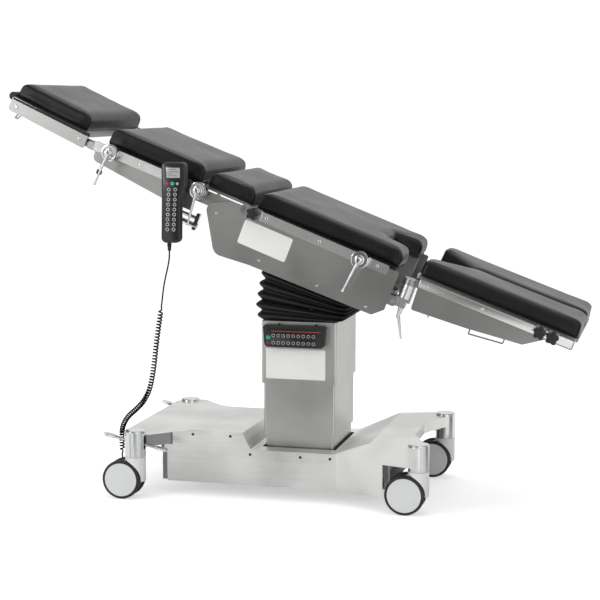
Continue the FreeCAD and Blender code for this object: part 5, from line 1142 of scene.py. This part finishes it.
print("star knobs: 6")

# %% [markdown]
# ## Pedal treads
# The brake pedals are cast ovals with raised ribs across them, so that a wet shoe doesn't
# slip. Each rib is a small slab with a rounded back, laid over the pedal's slope.

# %% Pedal treads
PEDAL_LEAN = Matrix.Rotation(math.radians(12), 4, "Y")
RIB_PITCH = 5.6
ribs = []
for spot in ((-593, -280, 200), (-421, -280, 164), (-593, 280, 200), (-421, 280, 164)):
    lean = Matrix.Translation(Vector(spot) / 1000) @ PEDAL_LEAN
    for step in range(-3, 4):
        x = step * RIB_PITCH
        half = 13.4 * math.sqrt(1 - (x / 22.5) ** 2)
        ribs.append(slab("rib", (x - 1.2, -half, 3.0), (x + 1.2, half, 5.0), lean, 0.0007, 2))
finished(join("pedal_treads", ribs), chrome, "brake_pedals")
print("pedal ribs:", len(ribs))

# %% [markdown]
# ## Light and floor
# The photograph is a packshot: a white sweep, broad soft light from above and the front,
# and a faint shadow under the casters. The world is white to the eye, uneven to mirrors,
# and dimmer as a light. A floor in pale grey catches the shadow. Steel mirrors the room at
# floor level, so a metre or more away the floor shows dark flags and bright cards to
# mirrored rays alone, which gives round chrome its upright bands.

# %% Light and floor
bpy.context.scene.view_settings.view_transform = "Standard"
world = bpy.data.worlds.new("studio")
bpy.context.scene.world = world
world.use_nodes = True
tree = world.node_tree
background = tree.nodes["Background"]
background.inputs["Color"].default_value = (1, 1, 1, 1)
background.inputs["Strength"].default_value = 0.6
direction = add(tree, "ShaderNodeTexCoord")
cards = noise(tree, direction.outputs["Generated"], 1.3, 0.5)
tones = ramp(tree, cards, [(0.40, grey(0.16)), (0.56, grey(1.0))])
mirrored = add(tree, "ShaderNodeBackground", {"Strength": 0.9}, Color=tones.outputs["Color"])
seen = add(tree, "ShaderNodeBackground", {"Color": (1, 1, 1, 1), "Strength": 1.05})
path = add(tree, "ShaderNodeLightPath")
unseen = mixed(tree, path.outputs["Is Glossy Ray"], background.outputs["Background"],
               mirrored.outputs["Background"])
sky = mixed(tree, path.outputs["Is Camera Ray"], unseen, seen.outputs["Background"])
tree.links.new(sky, tree.nodes["World Output"].inputs["Surface"])

nothing_selected()
bpy.ops.mesh.primitive_plane_add(size=60, location=(0, 0, -0.0005))
floor = bpy.context.object
floor.name = "studio_floor"
floor_paint, tree, shader = new_finish("pale studio floor", "#f0f0ef", 0.9)
shader.inputs["Emission Color"].default_value = (1, 1, 1, 1)
place = add(tree, "ShaderNodeTexCoord")
scuffs = noise(tree, place.outputs["Object"], 0.8, 1.0)
tone = ramp(tree, scuffs, [(0.4, colour("#f3f3f2")), (0.6, colour("#f5f5f4"))])
tree.links.new(tone.outputs["Color"], shader.inputs["Base Color"])
path = add(tree, "ShaderNodeLightPath")
glow = add(tree, "ShaderNodeMath", {"operation": "MULTIPLY", 1: 0.5})
tree.links.new(path.outputs["Is Camera Ray"], glow.inputs[0])
tree.links.new(glow.outputs["Value"], shader.inputs["Emission Strength"])
distance = add(tree, "ShaderNodeVectorMath", {"operation": "LENGTH"},
               Vector=place.outputs["Object"])
far = spread_out(tree, distance.outputs["Value"], 0.7, 1.4, 0.0, 1.0)
shown = add(tree, "ShaderNodeMath", {"operation": "MULTIPLY"})
tree.links.new(path.outputs["Is Glossy Ray"], shown.inputs[0])
tree.links.new(far, shown.inputs[1])
heading = add(tree, "ShaderNodeVectorMath", {"operation": "NORMALIZE"},
              Vector=place.outputs["Object"])
flags = noise(tree, heading.outputs["Vector"], 2.4, 1.0)
flag_tones = ramp(tree, flags, [(0.38, grey(0.12)), (0.50, grey(1.05))])
card = add(tree, "ShaderNodeEmission", {"Strength": 1.0}, Color=flag_tones.outputs["Color"])
surface = mixed(tree, shown.outputs["Value"], shader.outputs["BSDF"],
                card.outputs["Emission"])
tree.links.new(surface, tree.nodes["Material Output"].inputs["Surface"])
floor.data.materials.append(floor_paint)


def softbox(name, place, aim, size, power):
    nothing_selected()
    bpy.ops.object.light_add(type="AREA", location=place)
    lamp = bpy.context.object
    lamp.name = name
    lamp.data.shape = "RECTANGLE"
    lamp.data.size, lamp.data.size_y = size
    lamp.data.energy = power
    lamp.rotation_euler = (Vector(aim) - Vector(place)).to_track_quat("-Z", "Y").to_euler()
    return lamp


softbox("overhead", (0.2, 0.3, 3.4), (0, 0, 0.6), (3.4, 2.4), 38)
softbox("front_left", (-2.8, -3.2, 2.0), (0, 0, 0.6), (1.6, 1.6), 40)
softbox("front_right", (2.6, -3.6, 1.4), (0.2, 0, 0.6), (1.0, 2.0), 16)
